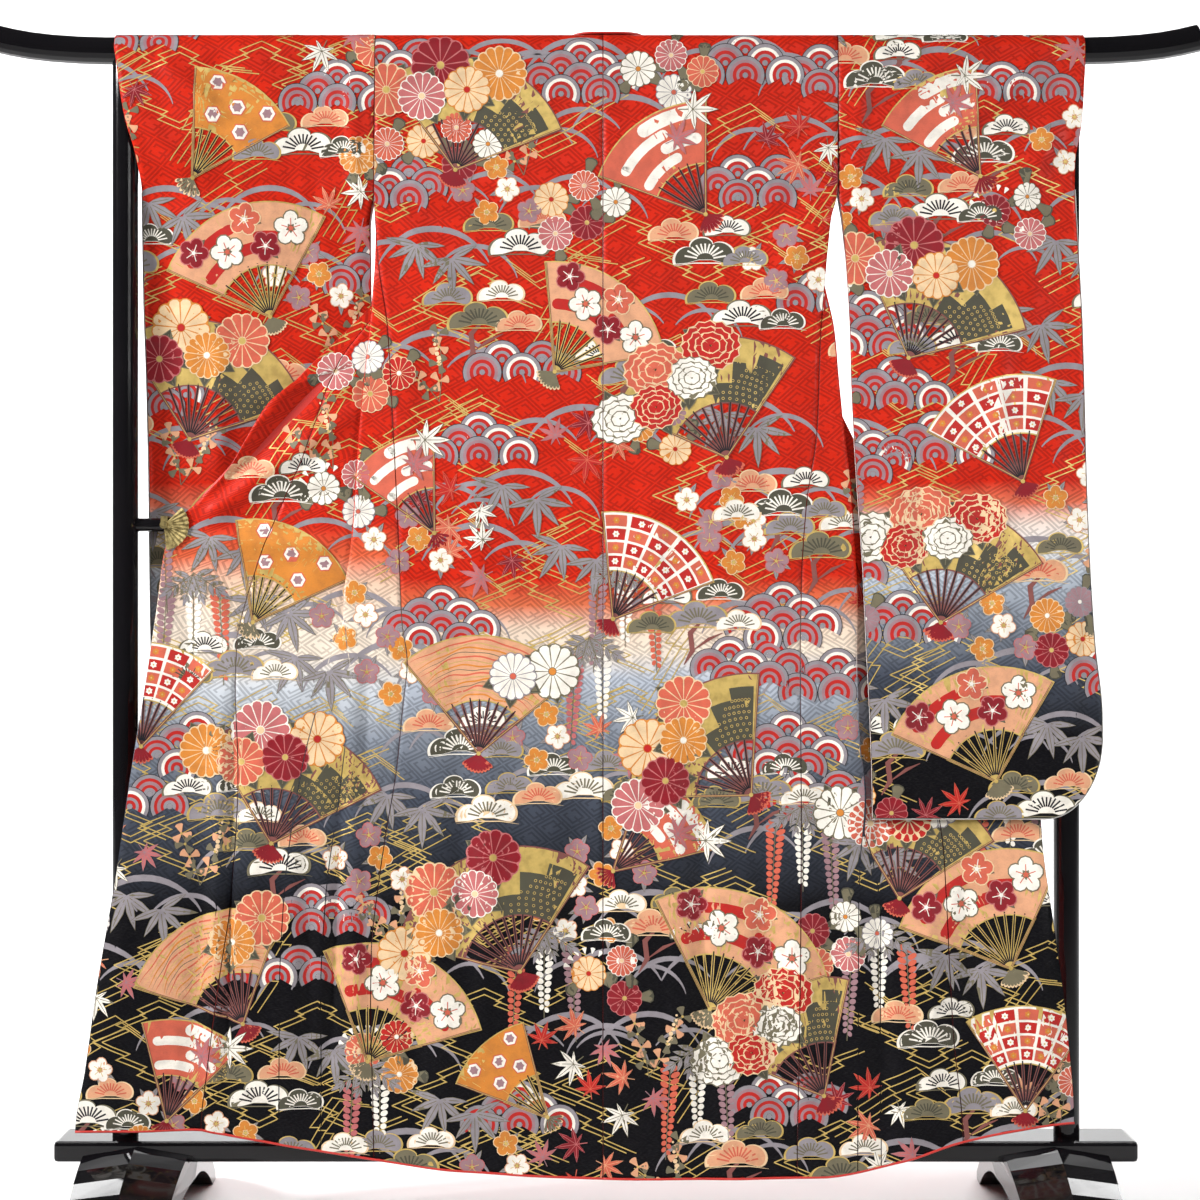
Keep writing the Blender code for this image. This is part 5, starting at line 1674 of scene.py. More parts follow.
@dataclass
class Fan:
    """An open folding fan with a figured paper."""

    pivot: complex
    radius: float
    turn: float
    spread: float
    style: FanStyle
    level: float = 8.0
    inner: float = 0.46

    def sector(self, pen: Pen, low: float, high: float, start: float, end: float, dye: Dye, level: float) -> None:
        """Fills part of the paper, given in shares of the radius and of the spread."""
        angles = (mix(-0.5, 0.5, start) * self.spread, mix(-0.5, 0.5, end) * self.spread)
        count = max(int(abs(end - start) * self.spread / 5), 3)
        pen.band(arc(high * self.radius, *angles, count), arc(low * self.radius, *angles, count), dye, level)

    def spot(self, reach: float, across: float) -> complex:
        """A place on the paper, in shares of the radius and of the spread."""
        return reach * self.radius * complex(np.exp(1j * math.radians(mix(-0.5, 0.5, across) * self.spread)))

    def draw(self, pen: Pen) -> None:
        """Draws the fan: ribs, paper, guards and head."""
        pen.at(self.pivot, self.turn, self.level)
        ribs = max(int(self.spread / 10), 4)
        outer, core = (Dye.GOLD, Dye.DARK) if self.style in (FanStyle.PLUM, FanStyle.HEXAGONS) else (Dye.BARK, Dye.DARK)
        for k in range(ribs + 1):
            tip = self.spot(self.inner + 0.02, k / ribs)
            pen.line(np.array([0, tip]), 4.2 * MM, outer)
            pen.line(np.array([0.12 * tip, tip]), 2.0 * MM, core, 1)
            head = petal(0, -0.16 * self.radius, 0.034 * self.radius) * np.exp(1j * math.radians(mix(-50, 50, k / ribs)))
            pen.patch(head * 1.06, Dye.CREAM if outer is Dye.GOLD else Dye.CORAL, 0.5)
            pen.patch(head * 0.96, Dye.OLIVE if outer is Dye.GOLD else Dye.CRIMSON, 1)
        base = {
            FanStyle.MIST: Dye.CORAL, FanStyle.GOLD: Dye.GOLD, FanStyle.LATTICE: Dye.WHITE, FanStyle.WAVES: Dye.PEACH,
            FanStyle.PLUM: Dye.PEACH, FanStyle.HEXAGONS: Dye.ORANGE,
        }[self.style]
        self.sector(pen, self.inner - 0.012, 1.012, -0.01, 1.01, Dye.GOLD if base is not Dye.GOLD else Dye.BARK, 0.5)
        self.sector(pen, self.inner, 1.0, 0, 1, base, 1)
        getattr(self, "_" + self.style.value)(pen)
        for edge in (0.0, 1.0):
            pen.line(np.array([0, self.spot(1.0, edge)]), 2.6 * MM, Dye.BARK, 4)
            pen.line(np.array([0, self.spot(1.0, edge)]), 0.9 * MM, Dye.GOLD, 5)
        pen.patch(disc(0, 3.2 * MM), Dye.GOLD, 5)

    def _bar(self, pen: Pen, reach: float, wide: float, start: float, end: float, dye: Dye, level: float = 2.0) -> None:
        """A bar of mist with round ends."""
        self.sector(pen, reach - wide / 2, reach + wide / 2, start, end, dye, level)
        for edge in (start, end):
            pen.patch(disc(self.spot(reach, edge), wide / 2 * self.radius, 12), dye, level)

    def _mist(self, pen: Pen) -> None:
        """White mist on coral."""
        self._bar(pen, 0.92, 0.12, 0.12, 0.52, Dye.WHITE)
        self._bar(pen, 0.80, 0.09, 0.40, 0.88, Dye.WHITE)
        self._bar(pen, 0.68, 0.10, 0.10, 0.44, Dye.WHITE)
        self._bar(pen, 0.56, 0.09, 0.38, 0.90, Dye.WHITE)

    def _gold(self, pen: Pen) -> None:
        """Gold leaf with a dark cloud of small rings."""
        for low, high, start, end in ((self.inner, 0.62, 0.02, 0.46), (0.60, 0.80, 0.02, 0.30), (0.78, 0.90, 0.02, 0.16)):
            self.sector(pen, low, high, start, end, Dye.MOSS, 2)
        for k in range(42):
            share = (k * 11 % 42) / 42
            spot = self.spot(0.49 + 0.05 * (k % 7), 0.04 + (0.40 - 0.045 * (k % 7)) * share)
            ring = arc(2.3 * MM, 0, 360, 9)
            pen.band(spot + ring, spot + 0.65 * ring, Dye.GOLD, 3)

    def _lattice(self, pen: Pen) -> None:
        """Small flowers in a lattice."""
        across = max(int(self.spread / 14), 3)
        for i in range(across):
            for j in range(4):
                self.sector(
                    pen, 0.49 + 0.128 * j, 0.595 + 0.128 * j, (i + 0.08) / across, (i + 0.92) / across,
                    (Dye.RED, Dye.CORAL)[(i + j) % 2], 2,
                )
                spot = self.spot(0.542 + 0.128 * j, (i + 0.5) / across)
                pen.patch(spot + disc(0, 5.4 * MM, 12) * np.tile([1, 0.7], 6), (Dye.WHITE, Dye.ORANGE)[(i + j) % 2], 3)
                pen.patch(disc(spot, 1.4 * MM, 6), Dye.GOLD, 4)

    def _waves(self, pen: Pen) -> None:
        """Long ripples of flowing water."""
        across = np.linspace(0.02, 0.98, 33)
        for k in range(15):
            swell = 0.014 * np.sin(13 * across + 0.5 * k) + 0.006 * np.sin(29 * across + 1.7 * k)
            turns = 1j * np.radians(mix(-0.5, 0.5, across) * self.spread)
            line = (0.495 + 0.033 * k + swell) * self.radius * np.exp(turns)
            pen.line(line, (2.4, 1.2)[k % 2] * MM, (Dye.ORANGE, Dye.GOLD, Dye.CORAL, Dye.OLIVE)[k % 4], 2, True)

    def _plum(self, pen: Pen) -> None:
        """Red mist under plum blossoms."""
        self._bar(pen, 0.62, 0.10, 0.45, 0.92, Dye.RED)
        self._bar(pen, 0.84, 0.09, 0.52, 0.90, Dye.RED)
        self._bar(pen, 0.72, 0.07, 0.08, 0.40, Dye.RED)
        origin, level = self.pivot, self.level
        spots = ((0.80, 0.16, 0.16), (0.62, 0.34, 0.14), (0.88, 0.46, 0.15), (0.68, 0.66, 0.16), (0.88, 0.84, 0.14))
        for k, (reach, across, size) in enumerate(spots):
            pen.at(origin + self.spot(reach, across) * complex(np.exp(1j * math.radians(self.turn))), 31 * k, level + 4)
            leaf_spray(pen, 0.2 * self.radius, 2, 150, 0.4, Dye.OLIVE, Dye.MOSS)
            pen.level += 2
            face, line = ((Dye.WHITE, Dye.OLIVE), (Dye.CRIMSON, Dye.PINK), (Dye.CORAL, Dye.CREAM))[k % 3]
            blossom(pen, size * self.radius, face, line, (Dye.CORAL, Dye.WHITE)[k % 3 > 0])
        pen.at(origin, self.turn, level)

    def _hexagons(self, pen: Pen) -> None:
        """White hexagons that hold small mauve flowers."""
        for k, (reach, across) in enumerate(((0.60, 0.25), (0.60, 0.72), (0.76, 0.48), (0.90, 0.2), (0.90, 0.78))):
            spot = self.spot(reach, across)
            for size, dye, up in ((0.085, Dye.CORAL, 2), (0.072, Dye.WHITE, 3)):
                pen.patch(disc(spot, size * self.radius, 6), dye, up)
            pen.patch(spot + disc(0, 0.048 * self.radius, 12) * np.tile([1, 0.75], 6), Dye.MAUVE, 4)


FLOWERS = (
    (Dye.WHITE, Dye.LILAC, Dye.CORAL, 14, 1), (Dye.CORAL, Dye.CREAM, Dye.GOLD, 13, 1),
    (Dye.RED, Dye.CREAM, Dye.WHITE, 14, 2), (Dye.ORANGE, Dye.CREAM, Dye.WHITE, 15, 1),
    (Dye.MAUVE, Dye.LILAC, Dye.WHITE, 14, 1), (Dye.CREAM, Dye.ORANGE, Dye.RED, 12, 1),
    (Dye.CORAL, Dye.WHITE, Dye.CREAM, 17, 3), (Dye.CRIMSON, Dye.PINK, Dye.GOLD, 12, 1),
    (Dye.WHITE, Dye.OLIVE, Dye.ORANGE, 12, 1), (Dye.PINK, Dye.WHITE, Dye.CREAM, 14, 1),
)
PINES = (
    (Dye.WHITE, Dye.OLIVE, Dye.CREAM), (Dye.OLIVE, Dye.MOSS, Dye.GOLD), (Dye.PEACH, Dye.CORAL, Dye.CREAM),
    (Dye.WHITE, Dye.DARK, Dye.OLIVE), (Dye.MOSS, Dye.WHITE, Dye.WHITE), (Dye.LILAC, Dye.OLIVE, Dye.GOLD),
)
MAPLES = (
    (Dye.CORAL, Dye.PEACH), (Dye.WHITE, Dye.OLIVE), (Dye.PINK, Dye.MAUVE), (Dye.CRIMSON, Dye.PINK), (Dye.RED, Dye.CORAL),
)


@dataclass
class Pattern:
    """A layout of motifs over one stretch of the garment, listed for the fans and set by a seed between them."""

    seed: int
    fans: tuple[tuple[float, float, float, float, float, FanStyle], ...]
    left: float
    right: float
    low: float
    top: float
    bare: tuple[tuple[float, float, float], ...] = ()
    pen: Pen = field(default_factory=Pen)

    def draw(self) -> tuple[np.ndarray, np.ndarray]:
        """Draws the whole layout.

        Returns:
            The triangles' corners as complex numbers, and each triangle's dye and level.
        """
        chance = np.random.default_rng(self.seed)
        fans = [Fan(complex(x, z) * MM, r * MM, turn, spread, style) for x, z, r, turn, spread, style in self.fans]
        papers = [(fan.pivot + 0.72 * fan.radius * np.exp(1j * math.radians(fan.turn)), fan.radius) for fan in fans]
        kinds = (
            self._pines, self._flowers, self._waves, self._maples, self._pines, self._wisteria, self._flowers,
            self._clover, self._bamboo, self._pines, self._waves, self._blossoms,
        )
        turn = 0
        for row in range(int((self.top - self.low) * MM / CLUSTER_UP) + 1):
            for column in range(int((self.right - self.left) * MM / CLUSTER_ACROSS) + 1):
                x = self.left * MM + (column + 0.5 * (row % 2)) * CLUSTER_ACROSS + chance.uniform(-0.022, 0.022)
                spot = complex(x, self.low * MM + row * CLUSTER_UP + chance.uniform(-0.018, 0.018))
                turn += 1 + int(chance.integers(0, 5))
                draws = chance.integers(0, 1000, 3)
                if any(abs(spot - complex(bx, bz) * MM) < reach * MM for bx, bz, reach in self.bare):
                    continue
                self._ground(spot, draws)
                if not any(abs(spot - paper) < 0.52 * radius for paper, radius in papers):
                    kinds[turn % len(kinds)](spot, draws)
        for k, fan in enumerate(fans):
            fan.draw(self.pen)
            self._posy(fan, k)
        return np.concatenate(self.pen.corners), np.concatenate(self.pen.marks)

    def _ground(self, spot: complex, draws: np.ndarray) -> None:
        """The faint first layer: bent grass or couched gold."""
        pen = self.pen
        if draws[0] % 3 == 0:
            grass_arcs(pen.at(spot - 0.03j, 0, 0), 0.072 + 0.00002 * draws[1], Dye.LILAC)
        elif draws[0] % 3 == 1:
            stepped_lozenge(pen.at(spot + 0.02j, 0, 1), 0.19, 0.115, Dye.GOLD)
        else:
            lightning(pen.at(spot - (0.05 + 0.03j), (0, 180, 28)[draws[1] % 3], 1), 0.16, Dye.GOLD)

    def _pines(self, spot: complex, draws: np.ndarray) -> None:
        """A group of pine cushions, some on a branch."""
        pen = self.pen
        if draws[0] % 2:
            trunk = spot + np.array([-0.018 - 0.064j, -0.006 - 0.044j, -0.009 - 0.018j, 0.014 + 0.006j])
            pen.at(0, 0, 3).line(trunk, 8 * MM, Dye.BARK, 0, True)
            pen.line(spot + np.array([-0.006 - 0.044j, 0.018 - 0.027j, 0.038 - 0.018j]), 5 * MM, Dye.BARK, 0, True)
        places = (
            (-0.042 + 0.028j, 0.072), (0.036 + 0.034j, 0.068), (0.003 - 0.006j, 0.088), (0.062 - 0.010j, 0.066),
            (-0.064 - 0.014j, 0.070),
        )
        for k, (shift, width) in enumerate(places[: 3 + draws[2] % 3]):
            pen.at(spot + shift, 0, 4 + 0.9 * k)
            pine(pen, width, *PINES[(k + draws[1]) % len(PINES)])

    def _flowers(self, spot: complex, draws: np.ndarray) -> None:
        """Three or four small chrysanthemums with leaves."""
        pen = self.pen
        places = (-0.036 + 0.008j, 0.012 + 0.028j, 0.016 - 0.026j, 0.058 + 0.004j, -0.030 - 0.042j)
        for k, shift in enumerate(places[: 3 + draws[2] % 3]):
            face, line, heart, petals, _ = FLOWERS[(k + draws[1]) % len(FLOWERS)]
            pen.at(spot + shift, 40 * k + draws[0] % 90, 6 + 2.2 * (k % 2))
            for side in (200, 330):
                leaf = np.exp(1j * math.radians(side + 30 * k))
                pen.patch(petal(0.010, 0.043, 0.021) * leaf, Dye.MOSS, -1.2)
                pen.patch(petal(0.012, 0.041, 0.018) * leaf, Dye.OLIVE, -1)
            chrysanthemum(pen, (23 + draws[1] % 6 - 3 * (k % 2)) * MM, petals, face, line, heart)
        if draws[2] % 3 == 0:
            bud_arc(pen.at(spot + (-0.036 + 0.008j), 20, 6), 29 * MM, Dye.WHITE)

    def _waves(self, spot: complex, draws: np.ndarray) -> None:
        """A mound of wave scales."""
        rows = ((1, 2, 3, 2), (2, 3, 2), (2, 3), (1, 2, 3))[draws[1] % 4]
        seigaiha(self.pen.at(spot + 0.030j, 0, 2.5), 29 * MM, rows)

    def _maples(self, spot: complex, draws: np.ndarray) -> None:
        """Scattered maple leaves."""
        for k, shift in enumerate((-0.040 + 0.014j, 0.008 + 0.032j, 0.006 - 0.022j, 0.050 + 0.002j)):
            self.pen.at(spot + shift, 60 + 73 * k + draws[0] % 60, 5 + 1.6 * (k % 2))
            maple(self.pen, (27 + 3 * (k % 3)) * MM, *MAPLES[(k + draws[1]) % len(MAPLES)])

    def _wisteria(self, spot: complex, draws: np.ndarray) -> None:
        """A wisteria with two or three racemes."""
        faces = ((Dye.PINK, Dye.WHITE), (Dye.MAUVE, Dye.WHITE, Dye.CORAL), (Dye.CORAL, Dye.WHITE, Dye.MAUVE))
        wisteria(self.pen, spot + 0.045j, 0.122, faces[draws[1] % 3], 4)

    def _clover(self, spot: complex, draws: np.ndarray) -> None:
        """A spray of bush clover."""
        clover(self.pen.at(spot - 0.045j, int(draws[0] % 40) - 20, 4), 0.100)

    def _bamboo(self, spot: complex, draws: np.ndarray) -> None:
        """Two tufts of lilac bamboo leaves."""
        for k, turn in enumerate((255, 285)):
            self.pen.at(spot + complex(0.05 * k - 0.025, 0.03 - 0.02 * k), turn + draws[0] % 20, 4 + k)
            leaf_spray(self.pen, 0.060, 6, 190, 0.21, Dye.LILAC, Dye.OLIVE)

    def _blossoms(self, spot: complex, draws: np.ndarray) -> None:
        """A drift of cherry blossoms with narrow leaves."""
        for k, shift in enumerate((-0.045 + 0.014j, -0.010 - 0.018j, 0.020 + 0.016j, 0.052 - 0.016j, 0.004 + 0.048j)):
            face, line = ((Dye.WHITE, Dye.PEACH), (Dye.MAUVE, Dye.PINK), (Dye.ORANGE, Dye.CREAM))[(k + draws[1]) % 3]
            leaf_spray(self.pen.at(spot + shift, 90 + 70 * k, 4), 0.036, 2, 60, 0.3, Dye.LILAC, Dye.OLIVE)
            blossom(self.pen.at(spot + shift, 20 * k, 6), 19 * MM, face, line, Dye.GOLD)

    def _posy(self, fan: Fan, k: int) -> None:
        """The large flowers that lie over part of a fan."""
        if fan.style not in (FanStyle.GOLD, FanStyle.WAVES, FanStyle.MIST):
            return
        many = 5 if fan.style is FanStyle.GOLD else 2
        swing = complex(np.exp(1j * math.radians(fan.turn)))
        for i in range(many):
            reach = 0.94 - 0.22 * (i % 2)
            across = 0.42 + 0.62 * i / max(many - 1, 1) if many > 2 else 0.1 + 0.2 * i
            spot = fan.pivot + fan.spot(reach, across) * swing
            level = 14 + 4.2 * (i % 2)
            for side in (150, 215, 280)[: 3 * (fan.style is not FanStyle.MIST)]:
                leaf_spray(self.pen.at(spot, side + 50 * i, level - 2), 0.060, 1, 1, 0.5, Dye.MOSS, Dye.OLIVE)
            self.pen.at(spot, 25 * i, level)
            size = (0.041, 0.035, 0.044, 0.036, 0.040)[i]
            if fan.style is FanStyle.GOLD and k % 8 == 3:
                self.pen.at(spot, 5 * i, level)
                peony(self.pen, size * 1.05, *((Dye.RED, Dye.CREAM), (Dye.WHITE, Dye.OLIVE), (Dye.CORAL, Dye.CREAM))[i % 3])
            elif fan.style is FanStyle.MIST:
                maple(self.pen, size * 0.9, *MAPLES[i + 1])
            else:
                face, line, heart, petals, rings = FLOWERS[(2 * i + 3 * k) % len(FLOWERS)]
                chrysanthemum(self.pen, size, petals + 1, face, line, heart, rings)


CLUSTER_ACROSS = 125 * MM
CLUSTER_UP = 88 * MM
BODY_FANS = (
    (160, 1475, 165, 125, 70, FanStyle.MIST), (-205, 1540, 165, 74, 105, FanStyle.GOLD),
    (-60, 1245, 160, 52, 85, FanStyle.PLUM), (190, 1120, 175, 106, 100, FanStyle.GOLD),
    (-235, 1010, 145, 118, 55, FanStyle.MIST), (25, 885, 155, 58, 75, FanStyle.LATTICE),
    (-170, 690, 170, 84, 90, FanStyle.WAVES), (225, 630, 175, 134, 95, FanStyle.GOLD),
    (25, 520, 150, 42, 60, FanStyle.MIST), (-110, 375, 180, 112, 110, FanStyle.GOLD),
    (165, 320, 175, 66, 100, FanStyle.PLUM), (330, 195, 170, 118, 80, FanStyle.GOLD),
    (-70, 165, 140, 132, 55, FanStyle.HEXAGONS), (-330, 245, 170, 64, 95, FanStyle.PLUM),
    (600, 380, 170, 112, 95, FanStyle.PLUM), (-470, 560, 175, 74, 95, FanStyle.GOLD),
    (-500, 880, 150, 62, 75, FanStyle.HEXAGONS), (-510, 300, 165, 116, 90, FanStyle.WAVES),
    (-620, 160, 145, 74, 60, FanStyle.MIST), (620, 175, 150, 88, 70, FanStyle.LATTICE),
    (440, 480, 160, 76, 90, FanStyle.GOLD), (-660, 700, 150, 82, 70, FanStyle.LATTICE),
)
SLEEVE_FANS = (
    (560, 1530, 160, 122, 60, FanStyle.MIST), (455, 1265, 175, 64, 100, FanStyle.GOLD),
    (620, 1085, 155, 112, 80, FanStyle.LATTICE), (500, 880, 170, 78, 95, FanStyle.GOLD),
    (580, 650, 165, 108, 95, FanStyle.PLUM), (-590, 1530, 160, 58, 60, FanStyle.HEXAGONS),
    (-480, 1330, 165, 108, 95, FanStyle.PLUM), (-600, 1150, 175, 70, 105, FanStyle.GOLD),
    (-470, 960, 155, 116, 60, FanStyle.MIST), (-545, 720, 170, 114, 100, FanStyle.WAVES),
)
PLAIN_AREAS = (
    (-345, 1375, 60), (-395, 1335, 60), (-450, 1290, 60), (-505, 1235, 60), (-545, 1180, 60), (-585, 1125, 55),
    (275, 1240, 55), (285, 1140, 45), (20, 1330, 40), (-250, 1300, 40), (110, 1010, 50), (330, 1150, 60),
)


@dataclass
class PrintedFace:
    """A stretch of cloth that takes a print: a grid of points whose rows run from the top down."""

    name: str
    sheet: str
    grid: np.ndarray
    near: bool = True
    crest: bool = False
    tree: BVHTree = field(init=False)
    top: float = field(init=False)

    def __post_init__(self) -> None:
        """Readies the face for finding places on it."""
        rows, columns = self.grid.shape[:2]
        self.tree = BVHTree.FromPolygons(self.grid.reshape(-1, 3).tolist(), grid_faces(rows, columns))
        self.top = RAIL_HEIGHT + HANG * math.pi / 2 - PRINT_INSET if self.crest else self.grid[0, :, 2].max()

    def print(self, corners: np.ndarray, marks: np.ndarray, finishes: tuple[bpy.types.Material, ...]) -> bpy.types.Object:
        """Lays a pattern's triangles on this face.

        Args:
            corners: The triangles' corners as complex numbers.
            marks: Each triangle's dye and level.
            finishes: The dyed silk and the gold.

        Returns:
            The printed piece.
        """
        corners, marks = self._refine(corners, marks)
        x, z = corners.real, corners.imag
        low, high = self._edges(z)
        new_x = np.clip(x, low, high)
        new_z = np.clip(z, self._foot(new_x), self.top)
        area = (new_x[:, 1] - new_x[:, 0]) * (new_z[:, 2] - new_z[:, 0])
        area -= (new_x[:, 2] - new_x[:, 0]) * (new_z[:, 1] - new_z[:, 0])
        keep = (np.abs(area) > 2e-8) & ~((new_x != x) | (new_z != z)).all(1)
        x, z, marks, area = new_x[keep], new_z[keep], marks[keep], area[keep]
        turned = (area > 0) != self.near
        x[turned], z[turned] = x[turned][:, ::-1], z[turned][:, ::-1]
        keys = np.stack([x.ravel(), z.ravel(), np.repeat(marks[:, 1], 3) * 0.01], axis=1)
        unique, index = np.unique(np.round(keys, 6), axis=0, return_inverse=True)
        points = self._lay(unique[:, 0], unique[:, 1], unique[:, 2] * 100)
        triangles = index.reshape(-1, 3)
        whole = (triangles[:, 0] != triangles[:, 1]) & (triangles[:, 1] != triangles[:, 2]) & (triangles[:, 0] != triangles[:, 2])
        triangles, marks = triangles[whole], marks[whole]
        piece = mesh_piece(self.name, points, triangles.tolist())
        dyes = marks[:, 0].astype(int)
        for finish in finishes:
            piece.data.materials.append(finish)
        piece.data.polygons.foreach_set("material_index", (dyes == DYES.index(Dye.GOLD)).astype(np.int32))
        layer = piece.data.color_attributes.new("dye", "FLOAT_COLOR", "CORNER")
        colours = np.array([(*dye.value, 1.0) for dye in DYES])[np.repeat(dyes, 3)]
        layer.data.foreach_set("color", colours.ravel())
        return piece

    def _edges(self, z: np.ndarray) -> tuple[np.ndarray, np.ndarray]:
        """The face's left and right limits at heights."""
        edges = []
        for column in (0, -1):
            line = self.grid[:, column]
            line = line[np.argsort(line[:, 2])]
            edges.append(np.interp(z, line[:, 2], line[:, 0]))
        return np.minimum(*edges) + PRINT_INSET, np.maximum(*edges) - PRINT_INSET

    def _foot(self, x: np.ndarray) -> np.ndarray:
        """The face's lower limit across."""
        line = self.grid[-1]
        line = line[np.argsort(line[:, 0])]
        return np.interp(x, line[:, 0], line[:, 2]) + PRINT_INSET

    def _find(self, x: float, z: float) -> tuple[Vector, Vector]:
        """The place on the cloth behind a flat point, and its normal."""
        way = -1.0 if self.near else 1.0
        hit, normal, _, _ = self.tree.ray_cast((x, way, z), (0.0, -way, 0.0))
        if hit is None:
            hit, normal, _, _ = self.tree.find_nearest((x, self.grid[len(self.grid) // 2, 0, 1], z))
        return hit, normal

    def _lay(self, x: np.ndarray, z: np.ndarray, levels: np.ndarray) -> np.ndarray:
        """Puts flat points on the cloth, raised by their levels."""
        way = -1.0 if self.near else 1.0
        lift = SHELL / 2 + PRINT_LIFT + LEVEL * levels
        points = np.empty((len(x), 3))
        for i, (px, pz, up) in enumerate(zip(x.tolist(), z.tolist(), lift.tolist())):
            if self.crest and pz > RAIL_HEIGHT:
                turn = (pz - RAIL_HEIGHT) / HANG
                reach = HANG + up
                points[i] = (px, way * reach * math.cos(turn), RAIL_HEIGHT + reach * math.sin(turn))
                continue
            hit, normal = self._find(px, pz)
            points[i] = (hit[0], hit[1] + way * up / max(abs(normal[1]), 0.4), hit[2])
        return points

    def _depths(self, places: np.ndarray) -> np.ndarray:
        """Y of the cloth behind flat points."""
        flat = places.ravel()
        found = [self._find(x, z)[0][1] for x, z in zip(flat.real.tolist(), flat.imag.tolist())]
        return np.array(found).reshape(places.shape)

    def _outside(self, corners: np.ndarray) -> np.ndarray:
        """Which of the four limits (left, right, foot, top) each corner lies past."""
        x, z = corners.real, corners.imag
        low, high = self._edges(z)
        return np.stack([x < low, x > high, z < self._foot(x), z > self.top])

    def _refine(self, corners: np.ndarray, marks: np.ndarray) -> tuple[np.ndarray, np.ndarray]:
        """Splits triangles at their longest side until they follow the cloth's creases and its edges.

        Args:
            corners: The triangles' corners as complex numbers.
            marks: Each triangle's dye and level.

        Returns:
            The finer triangles of this face and their marks.
        """
        near = ~self._outside(corners).all(axis=2).any(axis=0)
        corners, marks = corners[near], marks[near]
        depths = self._depths(corners)
        done_corners, done_marks = [], []
        while len(corners):
            sides = np.abs(corners - np.roll(corners, -1, axis=1))
            longest, length = sides.argmax(axis=1), sides.max(axis=1)
            rows = np.arange(len(corners))
            a, b, c = (corners[rows, (longest + k) % 3] for k in range(3))
            ya, yb, yc = (depths[rows, (longest + k) % 3] for k in range(3))
            middle = (a + b) / 2
            split = length > PRINT_EDGE
            between = np.zeros(len(corners))
            between[split] = self._depths(middle[split])
            sags = np.abs(between - (ya + yb) / 2) > PRINT_SAG
            past = self._outside(corners)
            cut = (past.any(axis=2) & ~past.all(axis=2)).any(axis=0)
            turned = corners.imag.max(axis=1) > RAIL_HEIGHT
            split &= sags | cut | turned | (length > PRINT_REACH)
            done_corners.append(corners[~split])
            done_marks.append(marks[~split])
            a, b, c, middle, marks = a[split], b[split], c[split], middle[split], marks[split]
            ya, yb, yc, between = ya[split], yb[split], yc[split], between[split]
            corners = np.concatenate([np.stack([a, middle, c], axis=1), np.stack([middle, b, c], axis=1)])
            depths = np.concatenate([np.stack([ya, between, yc], axis=1), np.stack([between, yb, yc], axis=1)])
            marks = np.concatenate([marks, marks])
            near = ~self._outside(corners).all(axis=2).any(axis=0)
            corners, depths, marks = corners[near], depths[near], marks[near]
        return np.concatenate(done_corners), np.concatenate(done_marks)


@dataclass(frozen=True)
class DyedSilk:
    """Hand-dyed motifs: the dye of each shape, uneven as brushed dye is, with the satin's lines across it."""

    name: str = "dyed_motifs"

    def make(self) -> bpy.types.Material:
        """Makes the material.

        Returns:
            The material.
        """
        recipe = Recipe(self.name, Specular_IOR_Level=0.2)
        vector, x, z = recipe.place()
        dye = recipe.node("ShaderNodeAttribute", {"attribute_name": "dye"}).outputs["Color"]
        brush = recipe.noise(vector, 60.0, 3.0)
        lines = recipe.noise(recipe.stretched(vector, (330, 330, 1100)), 1.0, 1.0)
        colour = recipe.blend(brush.step(0.35, 0.75) * 0.20, dye, (0.05, 0.03, 0.03))
        colour = recipe.blend(lines.step(0.5, 0.75) * 0.12, colour, (0.05, 0.03, 0.03))
        recipe.paint(colour, 0.42 + lines * 0.16, lines, 0.10 * MM, DRAPE)
        return recipe.material


@dataclass(frozen=True)
class GoldFoil:
    """Couched gold thread and rubbed gold leaf."""

    name: str = "gold_foil"

    def make(self) -> bpy.types.Material:
        """Makes the material.

        Returns:
            The material.
        """
        recipe = Recipe(self.name, Metallic=0.45)
        vector, x, z = recipe.place()
        wear = recipe.noise(vector, 75.0, 4.0)
        thread = recipe.noise(recipe.stretched(vector, (500, 500, 1500)), 1.0, 1.0)
        colour = recipe.blend(wear.step(0.35, 0.75), (0.66, 0.47, 0.14), (0.46, 0.32, 0.09))
        recipe.paint(colour, 0.34 + wear * 0.14 + thread * 0.1, thread, 0.12 * MM, DRAPE)
        return recipe.material


